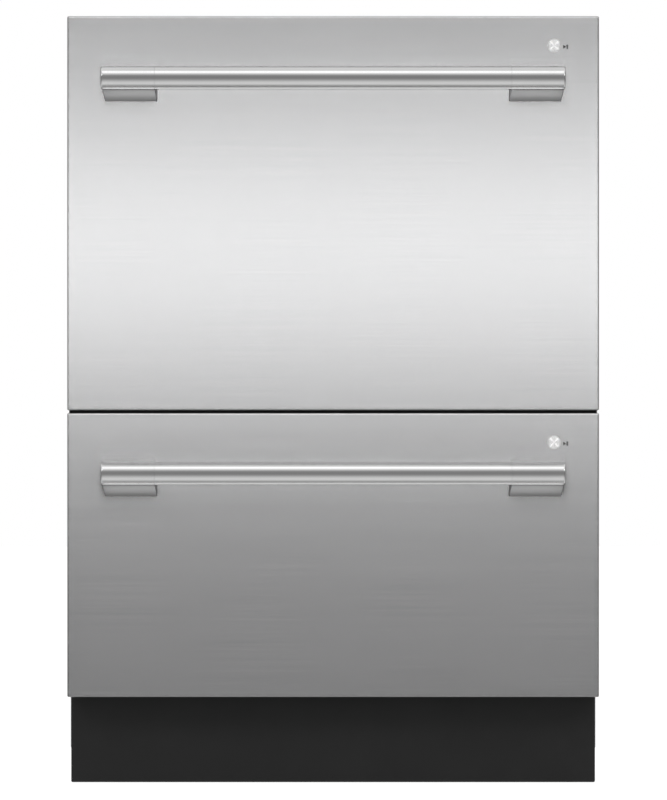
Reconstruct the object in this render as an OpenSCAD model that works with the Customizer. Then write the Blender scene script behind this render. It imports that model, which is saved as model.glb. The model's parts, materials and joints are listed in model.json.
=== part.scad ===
/* [Fronts] */
// Width of both drawer fronts
front_w = 599; // [580:1:640]
// Height of the lower drawer front
lower_front_h = 320; // [310:1:400]
// Height of the upper drawer front
upper_front_h = 444; // [400:1:480]
// Open gap between the two fronts
front_gap = 3; // [3:0.5:5]
// Depth of the folded steel pan of a front
pan_d = 20; // [18:0.5:20.5]
// Thickness of the steel skin
skin_t = 1.2; // [0.8:0.1:1.6]
// Radius of the folded edges of a front
edge_r = 2; // [2:0.1:5]
// Wall of the moulded liner behind a front
liner_wall = 2.5; // [2:0.1:3]
// Radius of the corners of the liner's deep box
liner_r = 10; // [6:1:20]

/* [Plinth] */
// Height of the lower front's bottom edge above the floor
plinth_h = 97; // [92:1:140]
// Distance of the toe kick behind the front face
toe_recess = 40; // [35:1:60]
// Distance of the toe kick's bottom edge above the floor
toe_floor_gap = 0.5; // [0.5:0.5:6]
// Height of the base tray's floor above the floor of the room
base_z = 40; // [34:1:50]
// Diameter of a levelling foot's pad
foot_pad_d = 38; // [30:1:44]
// Diameter of a levelling foot's stud
foot_stud_d = 10; // [8:0.5:12]
// Length of a levelling foot's stud above its pad
foot_stud_l = 112; // [100:1:116]

/* [Chassis] */
// Depth from the front faces to the back panel
body_d = 570; // [560:5:620]
// Overhang of a front past the chassis on each side
chassis_inset = 2; // [1.6:0.1:4]
// Thickness of the chassis sheet
sheet_t = 1.5; // [1:0.1:2]
// Distance of the chassis' front edge behind the front faces
chassis_setback = 23; // [22.8:0.1:26]
// Width of the chassis' folded flanges
flange_w = 12; // [10:0.5:12.5]
// Distance of the top panel below the top of the upper front
top_drop = 3; // [2:0.5:4]
// Height of the black trim strip in the gap between the fronts
trim_h = 10; // [8:0.5:11]

/* [Handles] */
// Outer diameter of the handle bar
bar_d = 26; // [20:1:30]
// Wall of the handle bar's tube
bar_wall = 2; // [1.5:0.1:3]
// Length of the whole handle
handle_l = 524; // [400:1:560]
// Length of a handle's end sleeve
sleeve_l = 61; // [40:1:70]
// Distance of the bar's centre in front of the front face
bar_reach = 45; // [36:1:60]
// Distance of the lower bar's centre below the top of its front
lower_bar_drop = 68; // [60:0.5:90]
// Distance of the upper bar's centre below the top of its front
upper_bar_drop = 70; // [60:0.5:90]
// Distance of a bracket foot's lower edge below the bar's centre
foot_fall = 26; // [16:1:34]
// Distance of a bracket foot's upper edge above the bar's centre
foot_rise = 9; // [6:1:12]
// Radius of the rounded ends of the handle
sleeve_edge_r = 1.5; // [0.5:0.5:3]

/* [Start button] */
// Diameter of the button's head
button_d = 14; // [10:0.5:18]
// Distance of the button from the right edge of the front
button_inset = 50.5; // [44.5:0.5:80]
// Distance of the button below the top of its front
button_drop = 33; // [28:1:40]
// Travel of the button
button_travel = 1.5; // [0.8:0.1:2]

/* [Tubs] */
// Distance of the tub's front wall behind the front face
tub_setback = 58; // [52:1:66]
// Distance of the tub's rear wall in front of the back panel's rear face
tub_rear_gap = 40; // [34:1:50]
// Gap between the tub's side wall and the slides
tub_rail_gap = 8; // [6:0.5:10]
// Wall of the tub
tub_wall = 3; // [2.4:0.1:4]
// Radius of the tub's upright corners
tub_corner_r = 45; // [30:1:60]
// Radius between the tub's walls and its floor
tub_cove_r = 18; // [10:1:24]
// Distance of the tub's rim below the top of its front
rim_drop = 35; // [34.5:0.5:40]
// Thickness of the tub's rim flange
rim_t = 4; // [3:0.5:6]
// Distance of the tub's floor above the bottom of its front
floor_rise = 48; // [48:1:56]
// Radius of the round sump in the tub's floor
sump_r = 105; // [90:1:120]
// Depth of the sump below the tub's floor
sump_depth = 18; // [16:0.5:18]

/* [Slides] */
// Height of the outer slide channel
rail_h = 45; // [40:1:50]
// Depth of the outer slide channel
rail_depth = 13; // [12.5:0.5:15]
// Sheet of the slide channels
rail_t = 1.5; // [1.2:0.1:1.6]
// Running gap between two slide channels
rail_gap = 0.5; // [0.4:0.1:0.6]
// Height of the slides above the underside of the tub's floor
rail_rise = 60; // [50:1:75]

/* [Lids] */
// Thickness of the wash lid
lid_t = 12; // [8:0.5:12]
// Height of the lid's rubber seal
seal_h = 6; // [4:0.5:6]
// Width of the lid's rubber seal
seal_w = 8; // [5:0.5:9]
// Lift of the seal above the rim while the drawer may move
lid_lift = 10; // [6:0.5:10]

/* [Wash system] */
// Radius that the spray arm sweeps
arm_r = 212; // [180:1:218]
// Height of the spray arm's body
arm_h = 12; // [8:0.5:14]
// Diameter of the post that the spray arm turns on
arm_post_d = 20; // [14:1:24]
// Diameter of the motor housing
motor_d = 150; // [120:1:180]
// Height of the motor housing
motor_h = 22; // [18:0.5:22]
// Diameter of the motor's shaft
shaft_d = 8; // [6:0.5:10]
// Diameter of the wash rotor
rotor_d = 90; // [60:1:120]

/* [Racks] */
// Diameter of the rack wire
wire_d = 4; // [3:0.1:4.5]
// Distance of the rack inside the tub's side walls
rack_side_clear = 22; // [18:1:30]
// Distance of the rack inside the tub's front and rear walls
rack_end_clear = 27; // [26:1:34]
// Height of the rack's lower wires above the tub's floor
rack_rise = 44; // [44:1:50]
// Distance of the rack's rim below the tub's rim
rack_rim_drop = 25; // [15:1:35]
// Diameter of the tines
tine_d = 3.5; // [2.5:0.1:4]
// Height of the tines
tine_h = 88; // [60:1:92]
// Width of the fold-up cup shelf
shelf_w = 70; // [50:1:71]
// Distance of the cup shelf below the tub's rim
shelf_drop = 120; // [110:1:140]
// Width of the cutlery basket
basket_w = 84; // [60:1:88]
// Length of the cutlery basket
basket_l = 156; // [100:1:170]
// Height of the cutlery basket
basket_h = 118; // [80:1:130]

/* [Hidden] */
$fn = 64;
WIRE_FN = 36;

LOWER = 0;
UPPER = 1;

// Clearances
eps = 0.01;             // overlap of cuts past a face
weld_gap = 0.05;        // gap between crossing wires
turn_fit = 0.08;        // radial clearance of turning shafts
side_fit = 0.3;         // clearance of pieces that fit inside each other
seam = 0.15;            // visible joint between two handle pieces

// Main planes, with the origin under the middle of the whole object
handle_reach = bar_reach + bar_d / 2;
front_y = handle_reach / 2 - body_d / 2;
back_y = front_y + body_d;
chassis_y = front_y + chassis_setback;
chassis_x = front_w / 2 - chassis_inset;
inner_x = chassis_x - sheet_t;
total_h = plinth_h + lower_front_h + front_gap + upper_front_h;
top_z = total_h - top_drop;
back_in_y = back_y - sheet_t;

function front_z(d) = d == LOWER ? plinth_h : plinth_h + lower_front_h + front_gap;
function front_h(d) = d == LOWER ? lower_front_h : upper_front_h;
function front_top(d) = front_z(d) + front_h(d);
function rim_z(d) = front_top(d) - rim_drop;
function tub_z(d) = front_z(d) + floor_rise;
function floor_z(d) = tub_z(d) + tub_wall;
function rail_z(d) = tub_z(d) + rail_rise;
function bar_z(d) = front_top(d) - (d == LOWER ? lower_bar_drop : upper_bar_drop);
function rack_z(d) = floor_z(d) + rack_rise;

// Tub and slides
rail_front_gap = 5;
rail_rear_gap = 42;
tub_x = inner_x - rail_depth - tub_rail_gap;
rim_rail_gap = 2;       // between the rim flange and the slides
rim_w = tub_rail_gap - rim_rail_gap;
tub_y0 = front_y + tub_setback;
tub_y1 = back_y - tub_rear_gap;
tub_cy = (tub_y0 + tub_y1) / 2;
tub_d = tub_y1 - tub_y0;
rail_y0 = chassis_y + rail_front_gap;
rail_y1 = back_y - rail_rear_gap;

// Plinth and base
lap = 30;               // overlap of the base tray's walls and the side panels
panel_lift = 3;         // of the side panels above the plinth
panel_z = plinth_h + panel_lift;
toe_y = front_y + toe_recess;
toe_lap = 2;            // of the toe kick above the plinth
toe_top = plinth_h + toe_lap;
toe_side_gap = 0.5;
toe_x = inner_x - toe_side_gap;
toe_clip_spread = 200;  // from the middle clip to the outer ones
toe_clip_w = 20;
toe_clip_l = 30;        // from the toe kick's face to the clip's end
toe_clip_h = 8;
foot_inset = 34;        // of a levelling foot from the side panel
foot_x = inner_x - foot_inset;
foot_y = [tub_y0 + 40, tub_y1 - 10];
pad_h = 8;
pad_rim_h = 3;
foot_hex_h = 7;
foot_boss_h = 24;
foot_boss_wall = 6;

// Pressed beads and ribs of the sheets
bead_h = 1.1;
bead_w = 14;
bead_spread = 150;      // between two beads across the top
back_rib_d = 4;
back_rib_w = 24;

// Brackets and screws that hold the chassis to its neighbours
bracket_y = chassis_y + 14;
bracket_hole_r = 2.5;
bracket_first = 20;     // of the lower screw above the base tray's walls
bracket_spread = 630;   // between the lower and the upper screw
bracket_z = [panel_z + lap + bracket_first, panel_z + lap + bracket_first + bracket_spread];
bracket_w = 20;
bracket_h = 32;
bracket_return = 10;
screw_head_r = 4;
screw_head_h = 1.2;
screw_inset = 40;       // of the outer screws from the chassis' edges

// Water connections in the base
service_inset = 96;     // from the side panel
service_x = inner_x - service_inset;
service_w = 80;
service_rise = 26;
service_z = base_z + sheet_t + service_rise;

// Divider between the drawers
divider_gap = 2.2;      // above the lower lid
divider_z = rim_z(LOWER) + lid_lift + seal_h + lid_t + divider_gap;
divider_t = 1.2;
divider_up = 12;        // height of its folded edges
divider_back = back_in_y - back_rib_d - side_fit;

// Lids
lid_z0 = lid_lift + seal_h;
lid_x = tub_x + rim_w;
lid_r = tub_corner_r + rim_w;
lug_r = 3;
lug_z = lid_z0 + lid_t / 2;
lid_pocket_r = 14;
actuator_spread = 300;
actuator_y = [tub_cy - actuator_spread / 2, tub_cy + actuator_spread / 2];
actuator_w = 28;

// Slides, measured inwards from the chassis' inner face
mid_web = rail_t + rail_gap;
inner_web = 2 * mid_web;
boss_x = inner_x - inner_web - rail_t;

// Handles and brackets
bar_r = bar_d / 2;
foot_widen = 3;         // of a bracket's foot towards the middle
foot_draw_in = 5;       // of a bracket's foot from the handle's end
sleeve_x0 = handle_l / 2 - sleeve_l;
foot_x0 = sleeve_x0 - foot_widen;
foot_x1 = handle_l / 2 - foot_draw_in;
stud_r = 2.5;
stud_l = 12;
stud_in = 14;

// Liner and button
liner_top_drop = 7;     // of the liner's top edge below the front's
liner_foot = 5;
button_x = front_w / 2 - button_inset;
button_proud = 0.3;     // of the front when it is pressed
button_stand = button_travel + button_proud;
button_stem_r = 2.5;
button_stem_l = 34;
button_collar_t = 1.5;
button_head_in = 4;
button_room = 6;        // behind the button's head

// Wash system
sump_in_r = sump_r - tub_wall;
ledge_w = 6;
filter_t = 3;
filter_lift = 3;
filter_r = sump_in_r - 1;
arm_lift = 14;
hub_r = arm_post_d / 2 + 8;

// Racks
rack_x = tub_x - tub_wall - rack_side_clear;
rack_y0 = tub_y0 + tub_wall + rack_end_clear;
rack_y1 = tub_y1 - tub_wall - rack_end_clear;
wire_r = wire_d / 2;
wire_step = wire_d + weld_gap;
cross_n = 13;
cross_in = 20;
cross_pitch = (rack_y1 - rack_y0 - 2 * cross_in) / (cross_n - 1);
runner_n = 9;
runner_in = 18;
runner_pitch = 2 * (rack_x - runner_in) / (runner_n - 1);
comb_row = 3.5;
comb_r = 2.5;
comb_y = rack_y0 + cross_in + comb_row * cross_pitch;
comb_runners = [1, 6];
comb_end = 20;          // of the folding rod past its outer tines
tine_pitch = 24;
tine_n = 12;
tine_rows = [6, 9];
basket_x1 = rack_x - wire_step - wire_d - side_fit;
basket_y0 = rack_y0 + 22;
basket_wall = 2;
shelf_t = 3;
knuckle_r = wire_r + 2;
knuckle_l = 20;
belt_x = rack_x - wire_r - wire_step;

// Dispenser on the tub's front wall
disp_x = 60;
disp_d = 22;
disp_h = 56;
disp_drop = 34;
cup_r = 17;
cup_x = -22;
cover_w = 44;
cover_lip = 1.6;        // of the housing over the cover's edges
cover_d = 4;            // depth of the cover's groove
cover_tuck = 3;         // of the cover's edges under the lips

// Colours
steel = [0.80, 0.80, 0.79];
bright = [0.86, 0.86, 0.86];
zinc = [0.66, 0.68, 0.70];
black = [0.10, 0.10, 0.11];
grey = [0.55, 0.57, 0.60];
pale = [0.82, 0.84, 0.86];
dark = [0.22, 0.23, 0.25];

function cross_y(i) = rack_y0 + cross_in + i * cross_pitch;
function runner_x(i) = -(rack_x - runner_in) + i * runner_pitch;
function cross_z(d) = rack_z(d) + wire_step;
function stand_z(d) = cross_z(d) + wire_r + weld_gap;
function comb_z(d) = stand_z(d) + side_fit + comb_r;
function shelf_z(d) = rim_z(d) - shelf_drop;
function tine_x(i) = runner_x(comb_runners[0]) + tine_pitch / 2 + i * tine_pitch;

// Helpers

// A block between two opposite corners
module block(lo, hi) {
    translate(lo)
        cube(hi - lo);
}

// Both the children and their mirror image across the middle plane
module both_sides() {
    children();
    mirror([1, 0, 0])
        children();
}

module rod_x(x0, x1, y, z, r) {
    translate([x0, y, z])
        rotate([0, 90, 0])
            cylinder(h = x1 - x0, r = r);
}

module rod_y(x, y0, y1, z, r) {
    translate([x, y0, z])
        rotate([-90, 0, 0])
            cylinder(h = y1 - y0, r = r);
}

module rod_z(x, y, z0, z1, r) {
    translate([x, y, z0])
        cylinder(h = z1 - z0, r = r);
}

// A centred rectangle with round corners
module round_rect(w, d, r) {
    square([w - 2 * r, d], center = true);
    square([w, d - 2 * r], center = true);
    for (x = [-1, 1], y = [-1, 1])
        translate([x * (w / 2 - r), y * (d / 2 - r)])
            circle(r = r);
}

// A centred strip of width w from 0 to h, round at its two corners at 0
module round_foot_strip(w, h, r) {
    translate([-w / 2, r])
        square([w, h - r]);
    translate([-w / 2 + r, 0])
        square([w - 2 * r, h]);
    for (x = [-1, 1])
        translate([x * (w / 2 - r), r])
            circle(r = r);
}

// A flat slab in the tub's plan, from z0 to z1
module plan_slab(half_x, y0, y1, z0, z1, r) {
    translate([0, (y0 + y1) / 2, z0])
        linear_extrude(z1 - z0)
            round_rect(2 * half_x, y1 - y0, r);
}

// A slab upright in the front's plane, from y0 to y1
module front_slab(half_x, z0, z1, y0, y1, r) {
    translate([0, y1, (z0 + z1) / 2])
        rotate([90, 0, 0])
            linear_extrude(y1 - y0)
                round_rect(2 * half_x, z1 - z0, r);
}

// A tray with round upright corners and a round cove along its floor
module coved_block(half_x, y0, y1, z0, z1, corner_r, cove_r) {
    h = z1 - z0;
    intersection() {
        plan_slab(half_x, y0, y1, z0, z1, corner_r);
        translate([0, y1 + eps, z0])
            rotate([90, 0, 0])
                linear_extrude(y1 - y0 + 2 * eps)
                    round_foot_strip(2 * half_x, h, cove_r);
        translate([-half_x - eps, (y0 + y1) / 2, z0])
            rotate([90, 0, 90])
                linear_extrude(2 * half_x + 2 * eps)
                    round_foot_strip(y1 - y0, h, cove_r);
    }
}

// A slab that starts at its front face, with every edge of that face round
module soft_slab(half_x, z0, z1, y0, y1, r) {
    intersection() {
        front_slab(half_x, z0, z1, y0, y1, r);
        translate([0, y0, z0 - eps])
            linear_extrude(z1 - z0 + 2 * eps)
                round_foot_strip(2 * half_x, y1 - y0, r);
        translate([-half_x - eps, y0, (z0 + z1) / 2])
            rotate([90, 0, 90])
                linear_extrude(2 * half_x + 2 * eps)
                    rotate(-90)
                        round_foot_strip(z1 - z0, y1 - y0, r);
    }
}

// Chassis

module side_sheet() {
    flange_x = inner_x - flange_w;
    sheet_top = top_z - sheet_t;
    notch = 3;
    difference() {
        union() {
            block([inner_x, chassis_y, panel_z], [chassis_x, back_in_y, sheet_top]);
            // Flanges folded inwards along the front, the rear and the top
            block([flange_x, chassis_y, panel_z + lap], [inner_x, chassis_y + sheet_t, sheet_top]);
            block([flange_x, back_in_y - sheet_t, panel_z + lap], [inner_x, back_in_y, sheet_top]);
            block([flange_x, chassis_y, sheet_top - sheet_t], [inner_x, back_in_y, sheet_top]);
        }
        // Notches in the front flange where the slides run out
        for (d = [LOWER, UPPER])
            block([flange_x - 1, chassis_y - 1, rail_z(d) - notch],
                  [inner_x, chassis_y + sheet_t + 1, rail_z(d) + rail_h + notch]);
        // Screw holes into the neighbouring furniture
        for (z = bracket_z)
            rod_x(inner_x - 1, chassis_x + 1, bracket_y, z, bracket_hole_r);
    }
    // Pressed beads that stiffen the sheet
    for (z = [rail_z(LOWER) + rail_h + 60, rail_z(UPPER) - 40, rail_z(UPPER) + rail_h + 120])
        translate([chassis_x, tub_cy, z])
            rotate([90, 0, 90])
                linear_extrude(bead_h)
                    round_rect(tub_d - 60, bead_w, bead_w / 2 - eps);
}

module left_side_panel() {
    color(zinc)
        mirror([1, 0, 0])
            side_sheet();
}

module right_side_panel() {
    color(zinc)
        side_sheet();
}

module back_panel() {
    louvre_w = 70;
    louvre_h = 5;
    louvre_pitch = 14;
    first_z = panel_z + 24;
    color(zinc)
        difference() {
            union() {
                block([-chassis_x, back_in_y, panel_z], [chassis_x, back_y, top_z - sheet_t]);
                // Pressed ribs on the inner face
                for (x = [-inner_x / 2, 0, inner_x / 2])
                    block([x - back_rib_w / 2, back_in_y - back_rib_d, panel_z + 120],
                          [x + back_rib_w / 2, back_in_y, top_z - 60]);
            }
            // Louvres for the motor space
            for (x = [-inner_x / 2, inner_x / 2], i = [0 : 5])
                block([x - louvre_w / 2, back_in_y - 1, first_z + i * louvre_pitch],
                      [x + louvre_w / 2, back_y + 1, first_z + i * louvre_pitch + louvre_h]);
        }
}

module top_panel() {
    color(zinc) {
        block([-chassis_x, chassis_y, top_z - sheet_t], [chassis_x, back_y, top_z]);
        // Pressed cross beads
        for (y = [tub_cy - bead_spread, tub_cy, tub_cy + bead_spread])
            translate([0, y, top_z])
                linear_extrude(bead_h)
                    round_rect(chassis_x * 1.6, bead_w, bead_w / 2 - eps);
    }
}

// A tube that takes the stud of a levelling foot
module foot_boss(x, y) {
    rod_z(x, y, base_z, base_z + foot_boss_h, foot_stud_d / 2 + foot_boss_wall);
}

module base_tray() {
    front = toe_y + sheet_t;
    wall_top = panel_z + lap;
    color(zinc)
        difference() {
            union() {
                block([-inner_x, front, base_z], [inner_x, back_y, base_z + sheet_t]);
                both_sides()
                    block([inner_x - sheet_t, front, base_z], [inner_x, back_in_y, panel_z]);
                both_sides()
                    block([inner_x - sheet_t, chassis_y + 2 * sheet_t, panel_z - eps],
                          [inner_x, back_in_y - 2 * sheet_t, wall_top]);
                block([-inner_x, front, base_z], [inner_x, front + sheet_t, toe_top - 6]);
                block([-inner_x, back_in_y, base_z], [inner_x, back_y, panel_z]);
                for (x = [-foot_x, foot_x], y = foot_y)
                    foot_boss(x, y);
            }
            for (x = [-foot_x, foot_x], y = foot_y)
                rod_z(x, y, base_z - 1, base_z + foot_boss_h + 1, foot_stud_d / 2 + turn_fit);
            // Opening in the rear wall for the water and power connections
            for (x = [-service_x, service_x])
                block([x - service_w / 2, back_in_y - 1, base_z + 8],
                      [x + service_w / 2, back_y + 1, panel_z - 4]);
        }
}

module divider_shelf() {
    front = chassis_y + sheet_t;
    tongue_x = inner_x - flange_w - side_fit;
    color(zinc) {
        block([-inner_x, front, divider_z], [inner_x, divider_back, divider_z + divider_t]);
        // Tongue between the side panels' flanges, behind the black trim
        block([-tongue_x, chassis_y, divider_z], [tongue_x, front + eps, divider_z + divider_t]);
        // Edges folded up along the sides and the rear
        both_sides()
            block([inner_x - divider_t, front, divider_z], [inner_x, divider_back, divider_z + divider_up]);
        block([-inner_x, divider_back - divider_t, divider_z],
              [inner_x, divider_back, divider_z + divider_up]);
        for (y = [tub_cy - bead_spread, tub_cy + bead_spread])
            translate([0, y, divider_z + divider_t])
                linear_extrude(bead_h)
                    round_rect(inner_x * 1.7, bead_w, bead_w / 2 - eps);
    }
}

module divider_trim() {
    lip = 2.5;
    color(black)
        difference() {
            block([-chassis_x, chassis_y - lip, divider_z + 0.3],
                  [chassis_x, chassis_y, divider_z + 0.3 + trim_h]);
            // Two shallow grooves along the rubber face
            for (z = [0.3, 0.7])
                block([-chassis_x - 1, chassis_y - lip - 1, divider_z + trim_h * z],
                      [chassis_x + 1, chassis_y - lip + 0.5, divider_z + trim_h * z + 0.8]);
        }
}

module toe_kick() {
    return_d = 24;
    color(black) {
        block([-toe_x, toe_y, toe_floor_gap], [toe_x, toe_y + sheet_t, toe_top]);
        // Returns along the sides, the top and the bottom
        both_sides()
            block([toe_x - sheet_t, toe_y, toe_floor_gap], [toe_x, toe_y + return_d, base_z - 1]);
        block([-toe_x, toe_y, toe_floor_gap], [toe_x, toe_y + 10, toe_floor_gap + sheet_t]);
        // Clips that grip the base tray's floor from below
        for (x = [-1 : 1] * toe_clip_spread)
            block([x - toe_clip_w / 2, toe_y + sheet_t, base_z - toe_clip_h],
                  [x + toe_clip_w / 2, toe_y + toe_clip_l, base_z]);
    }
}

// A channel that opens inwards, on the right side
module channel(web_in, h_in, lip_x, z, y0, y1) {
    outer = inner_x - web_in;
    z0 = z + h_in;
    z1 = z + rail_h - h_in;
    block([outer - rail_t, y0, z0], [outer, y1, z1]);
    block([lip_x, y0, z0], [outer, y1, z0 + rail_t]);
    block([lip_x, y0, z1 - rail_t], [outer, y1, z1]);
}

module fixed_rails() {
    color(zinc)
        for (d = [LOWER, UPPER])
            both_sides()
                channel(0, 0, inner_x - rail_depth + 1, rail_z(d), rail_y0, rail_y1);
}

module mid_rails(d) {
    color(bright)
        both_sides()
            channel(mid_web, mid_web, inner_x - rail_depth + 1, rail_z(d), rail_y0 + 1, rail_y1 - 2);
}

module drawer_rails(d) {
    color(zinc)
        both_sides()
            channel(inner_web, inner_web, inner_x - rail_depth, rail_z(d), rail_y0 + 2, rail_y1 - 4);
}

module cabinet_brackets() {
    rear_y = bracket_y + bracket_w / 2;
    color(zinc)
        for (z = bracket_z)
            both_sides()
                difference() {
                    union() {
                        block([inner_x - sheet_t, rear_y - bracket_w, z - bracket_h / 2],
                              [inner_x, rear_y, z + bracket_h / 2]);
                        block([inner_x - bracket_return, rear_y - sheet_t, z - bracket_h / 2],
                              [inner_x, rear_y, z + bracket_h / 2]);
                    }
                    rod_x(inner_x - sheet_t - 1, inner_x + 1, bracket_y, z, bracket_hole_r);
                }
}

module inlet_valve() {
    thread_r = 13.2;
    color(pale)
        difference() {
            union() {
                block([-service_x - 18, back_y - 78, base_z + sheet_t],
                      [-service_x + 18, back_y - 34, base_z + sheet_t + 52]);
                rod_y(-service_x, back_y - 34 - eps, back_y - 14, service_z, 9);
                rod_y(-service_x, back_y - 14, back_y - 2, service_z, thread_r);
                // The solenoid coil on top, and the barb for the inner hose
                rod_z(-service_x, back_y - 56, base_z + sheet_t + 52 - eps, base_z + sheet_t + 60, 14);
                rod_y(-service_x, back_y - 100, back_y - 78 + eps, service_z, 6);
            }
            rod_y(-service_x, back_y - 40, back_y, service_z, 6.5);
        }
}

module drain_joiner() {
    spigot_r = 9.5;
    color(dark)
        difference() {
            union() {
                translate([service_x, back_y - 60, base_z + sheet_t])
                    linear_extrude(44)
                        round_rect(52, 40, 8);
                rod_y(service_x, back_y - 42, back_y - 4, service_z, spigot_r);
                for (x = [-12, 12])
                    rod_y(service_x + x, back_y - 98, back_y - 79, service_z, 7);
            }
            rod_y(service_x, back_y - 50, back_y, service_z, spigot_r - 2);
        }
}

module screw_head() {
    cylinder(h = screw_head_h, r1 = screw_head_r, r2 = screw_head_r - 1);
}

module chassis_screws() {
    ends = [chassis_y + screw_inset, back_y - screw_inset];
    color(dark)
        both_sides() {
            for (y = [ends[0], tub_cy, ends[1]])
                translate([chassis_x, y, panel_z + lap / 2])
                    rotate([0, 90, 0])
                        screw_head();
            for (y = ends)
                translate([inner_x - flange_w / 2, y, top_z])
                    screw_head();
        }
}

module lid_actuators() {
    depth = rail_depth - 1;
    room = lug_r + side_fit;
    color(dark)
        for (d = [LOWER, UPPER], y = actuator_y)
            both_sides()
                difference() {
                    block([inner_x - depth, y - actuator_w / 2, rim_z(d) + 4],
                          [inner_x, y + actuator_w / 2, rim_z(d) + lid_z0 + lid_t + 1]);
                    // The slot that the lid's lug rides up and down in
                    block([inner_x - depth - 1, y - room, rim_z(d) + lug_z - lid_lift - room],
                          [inner_x - 3, y + room, rim_z(d) + lug_z + room]);
                }
}

module levelling_foot(x, y) {
    color(dark) {
        rod_z(x, y, 0, pad_rim_h, foot_pad_d / 2);
        translate([x, y, pad_rim_h])
            cylinder(h = pad_h - pad_rim_h, r1 = foot_pad_d / 2, r2 = foot_stud_d);
        // Hexagon for the spanner
        translate([x, y, pad_h])
            cylinder(h = foot_hex_h, r = foot_stud_d, $fn = 6);
        rod_z(x, y, pad_h, pad_h + foot_stud_l, foot_stud_d / 2);
    }
}

// Fronts

module front_panel(d) {
    z0 = front_z(d);
    z1 = front_top(d);
    half = front_w / 2;
    color(steel)
        difference() {
            soft_slab(half, z0, z1, front_y, front_y + pan_d, edge_r);
            soft_slab(half - skin_t, z0 + skin_t, z1 - skin_t,
                      front_y + skin_t, front_y + pan_d + 1, edge_r - skin_t);
            rod_y(button_x, front_y - 1, front_y + skin_t + 1, z1 - button_drop, button_d / 2 + side_fit);
            handle_stud_holes(d, skin_t + 1);
        }
}

// Holes for the two studs of each handle bracket
module handle_stud_holes(d, depth) {
    both_sides()
        for (x = [foot_x0 + stud_in, foot_x1 - stud_in])
            rod_y(x, front_y - 1, front_y + depth, stud_z(d), stud_r + side_fit);
}

function stud_z(d) = bar_z(d) - (foot_fall - foot_rise) / 2;

module front_liner(d) {
    z0 = front_z(d) + skin_t + side_fit;
    z1 = front_top(d) - skin_t - side_fit;
    box_z0 = front_z(d) + liner_foot;
    box_z1 = front_top(d) - liner_top_drop;
    half = front_w / 2 - skin_t - side_fit;
    face_y = front_y + skin_t + side_fit;
    pan_y = front_y + pan_d;
    rear_y = tub_y0 - rim_w;
    button_z = front_top(d) - button_drop;
    room_y = face_y + button_head_in + button_room;
    inner_r = edge_r - skin_t;
    w = liner_wall;
    color(grey)
        difference() {
            union() {
                difference() {
                    union() {
                        soft_slab(half, z0, z1, face_y, pan_y, inner_r);
                        front_slab(tub_x, box_z0, box_z1, pan_y - w, rear_y, liner_r);
                    }
                    front_slab(half - w, z0 + w, z1 - w, face_y - 1, pan_y - w, inner_r);
                    front_slab(tub_x - w, box_z0 + w, box_z1 - w, pan_y - w - 1, rear_y - w,
                               liner_r - w);
                }
                // Stiffening ribs inside the box
                for (i = [-3 : 3])
                    block([i * tub_x / 4 - 1, face_y, box_z0 + w - eps],
                          [i * tub_x / 4 + 1, rear_y - w + eps, box_z1 - w + eps]);
                for (k = [0.3, 0.62])
                    block([-tub_x + w - eps, face_y, z0 + k * (z1 - z0) - 1],
                          [tub_x - w + eps, rear_y - w + eps, z0 + k * (z1 - z0) + 1]);
                // Bosses for the handle studs and the button's stem
                both_sides()
                    for (x = [foot_x0 + stud_in, foot_x1 - stud_in])
                        rod_y(x, face_y, rear_y - w + eps, stud_z(d), stud_r + 4);
                rod_y(button_x, room_y, rear_y - w + eps, button_z, button_stem_r + 3);
            }
            handle_stud_holes(d, pan_d + 6);
            rod_y(button_x, face_y - 1, rear_y - w - 2, button_z, button_stem_r + side_fit);
            // Room for the button's head and collar
            rod_y(button_x, face_y - 1, room_y, button_z, button_d / 2 + 3);
        }
}

module start_button(d) {
    z = front_top(d) - button_drop;
    collar_y = front_y + skin_t + side_fit;
    collar_end = collar_y + button_collar_t;
    color(bright) {
        // Shallow cone of the spun head, its skirt, the collar behind the skin and the stem
        translate([button_x, front_y - button_stand, z])
            rotate([-90, 0, 0])
                cylinder(h = 0.5, r1 = button_d / 2 - 0.6, r2 = button_d / 2);
        rod_y(button_x, front_y - button_stand + 0.5, collar_end, z, button_d / 2);
        rod_y(button_x, collar_y, collar_end, z, button_d / 2 + 1.5);
        rod_y(button_x, collar_end - eps, collar_y + button_stem_l, z, button_stem_r);
    }
}

module control_fascia(d) {
    z = front_top(d) - liner_top_drop;
    strip_t = 1.4;
    strip_w = 300;
    strip_d = tub_setback - rim_w - pan_d - 8;
    y = front_y + pan_d + 4 + strip_d / 2;
    pads = 7;
    pad_pitch = 36;
    color(black)
        translate([0, y, z])
            difference() {
                linear_extrude(strip_t)
                    round_rect(strip_w, strip_d, 6);
                // Round touch pads, slightly dished
                for (i = [0 : pads - 1])
                    translate([(i - (pads - 1) / 2) * pad_pitch, 0, strip_t - 0.4])
                        cylinder(h = 1, r = 7);
            }
}

module handle_bar(d) {
    half = sleeve_x0 - seam;
    color(bright)
        difference() {
            rod_x(-half, half, front_y - bar_reach, bar_z(d), bar_r);
            rod_x(-half - 1, half + 1, front_y - bar_reach, bar_z(d), bar_r - bar_wall);
        }
}

// The sleeve that continues the bar, with its outer end rounded
module handle_sleeve() {
    r = sleeve_edge_r;
    rotate([90, 0, 90])
        rotate_extrude() {
            square([bar_r, sleeve_l - r]);
            square([bar_r - r, sleeve_l]);
            intersection() {
                translate([bar_r - r, sleeve_l - r])
                    circle(r = r);
                translate([bar_r - r, sleeve_l - r])
                    square(r);
            }
        }
}

// One bracket seen from its end: from the bar back to its foot on the front
module bracket_profile() {
    polygon([
        [0, bar_r],
        [bar_reach - 6, foot_rise],
        [bar_reach, foot_rise],
        [bar_reach, -foot_fall],
        [bar_reach - 1.5, -foot_fall],
        [bar_reach * 0.45, -bar_r - 3],
        [0, -bar_r]
    ]);
}

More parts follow.
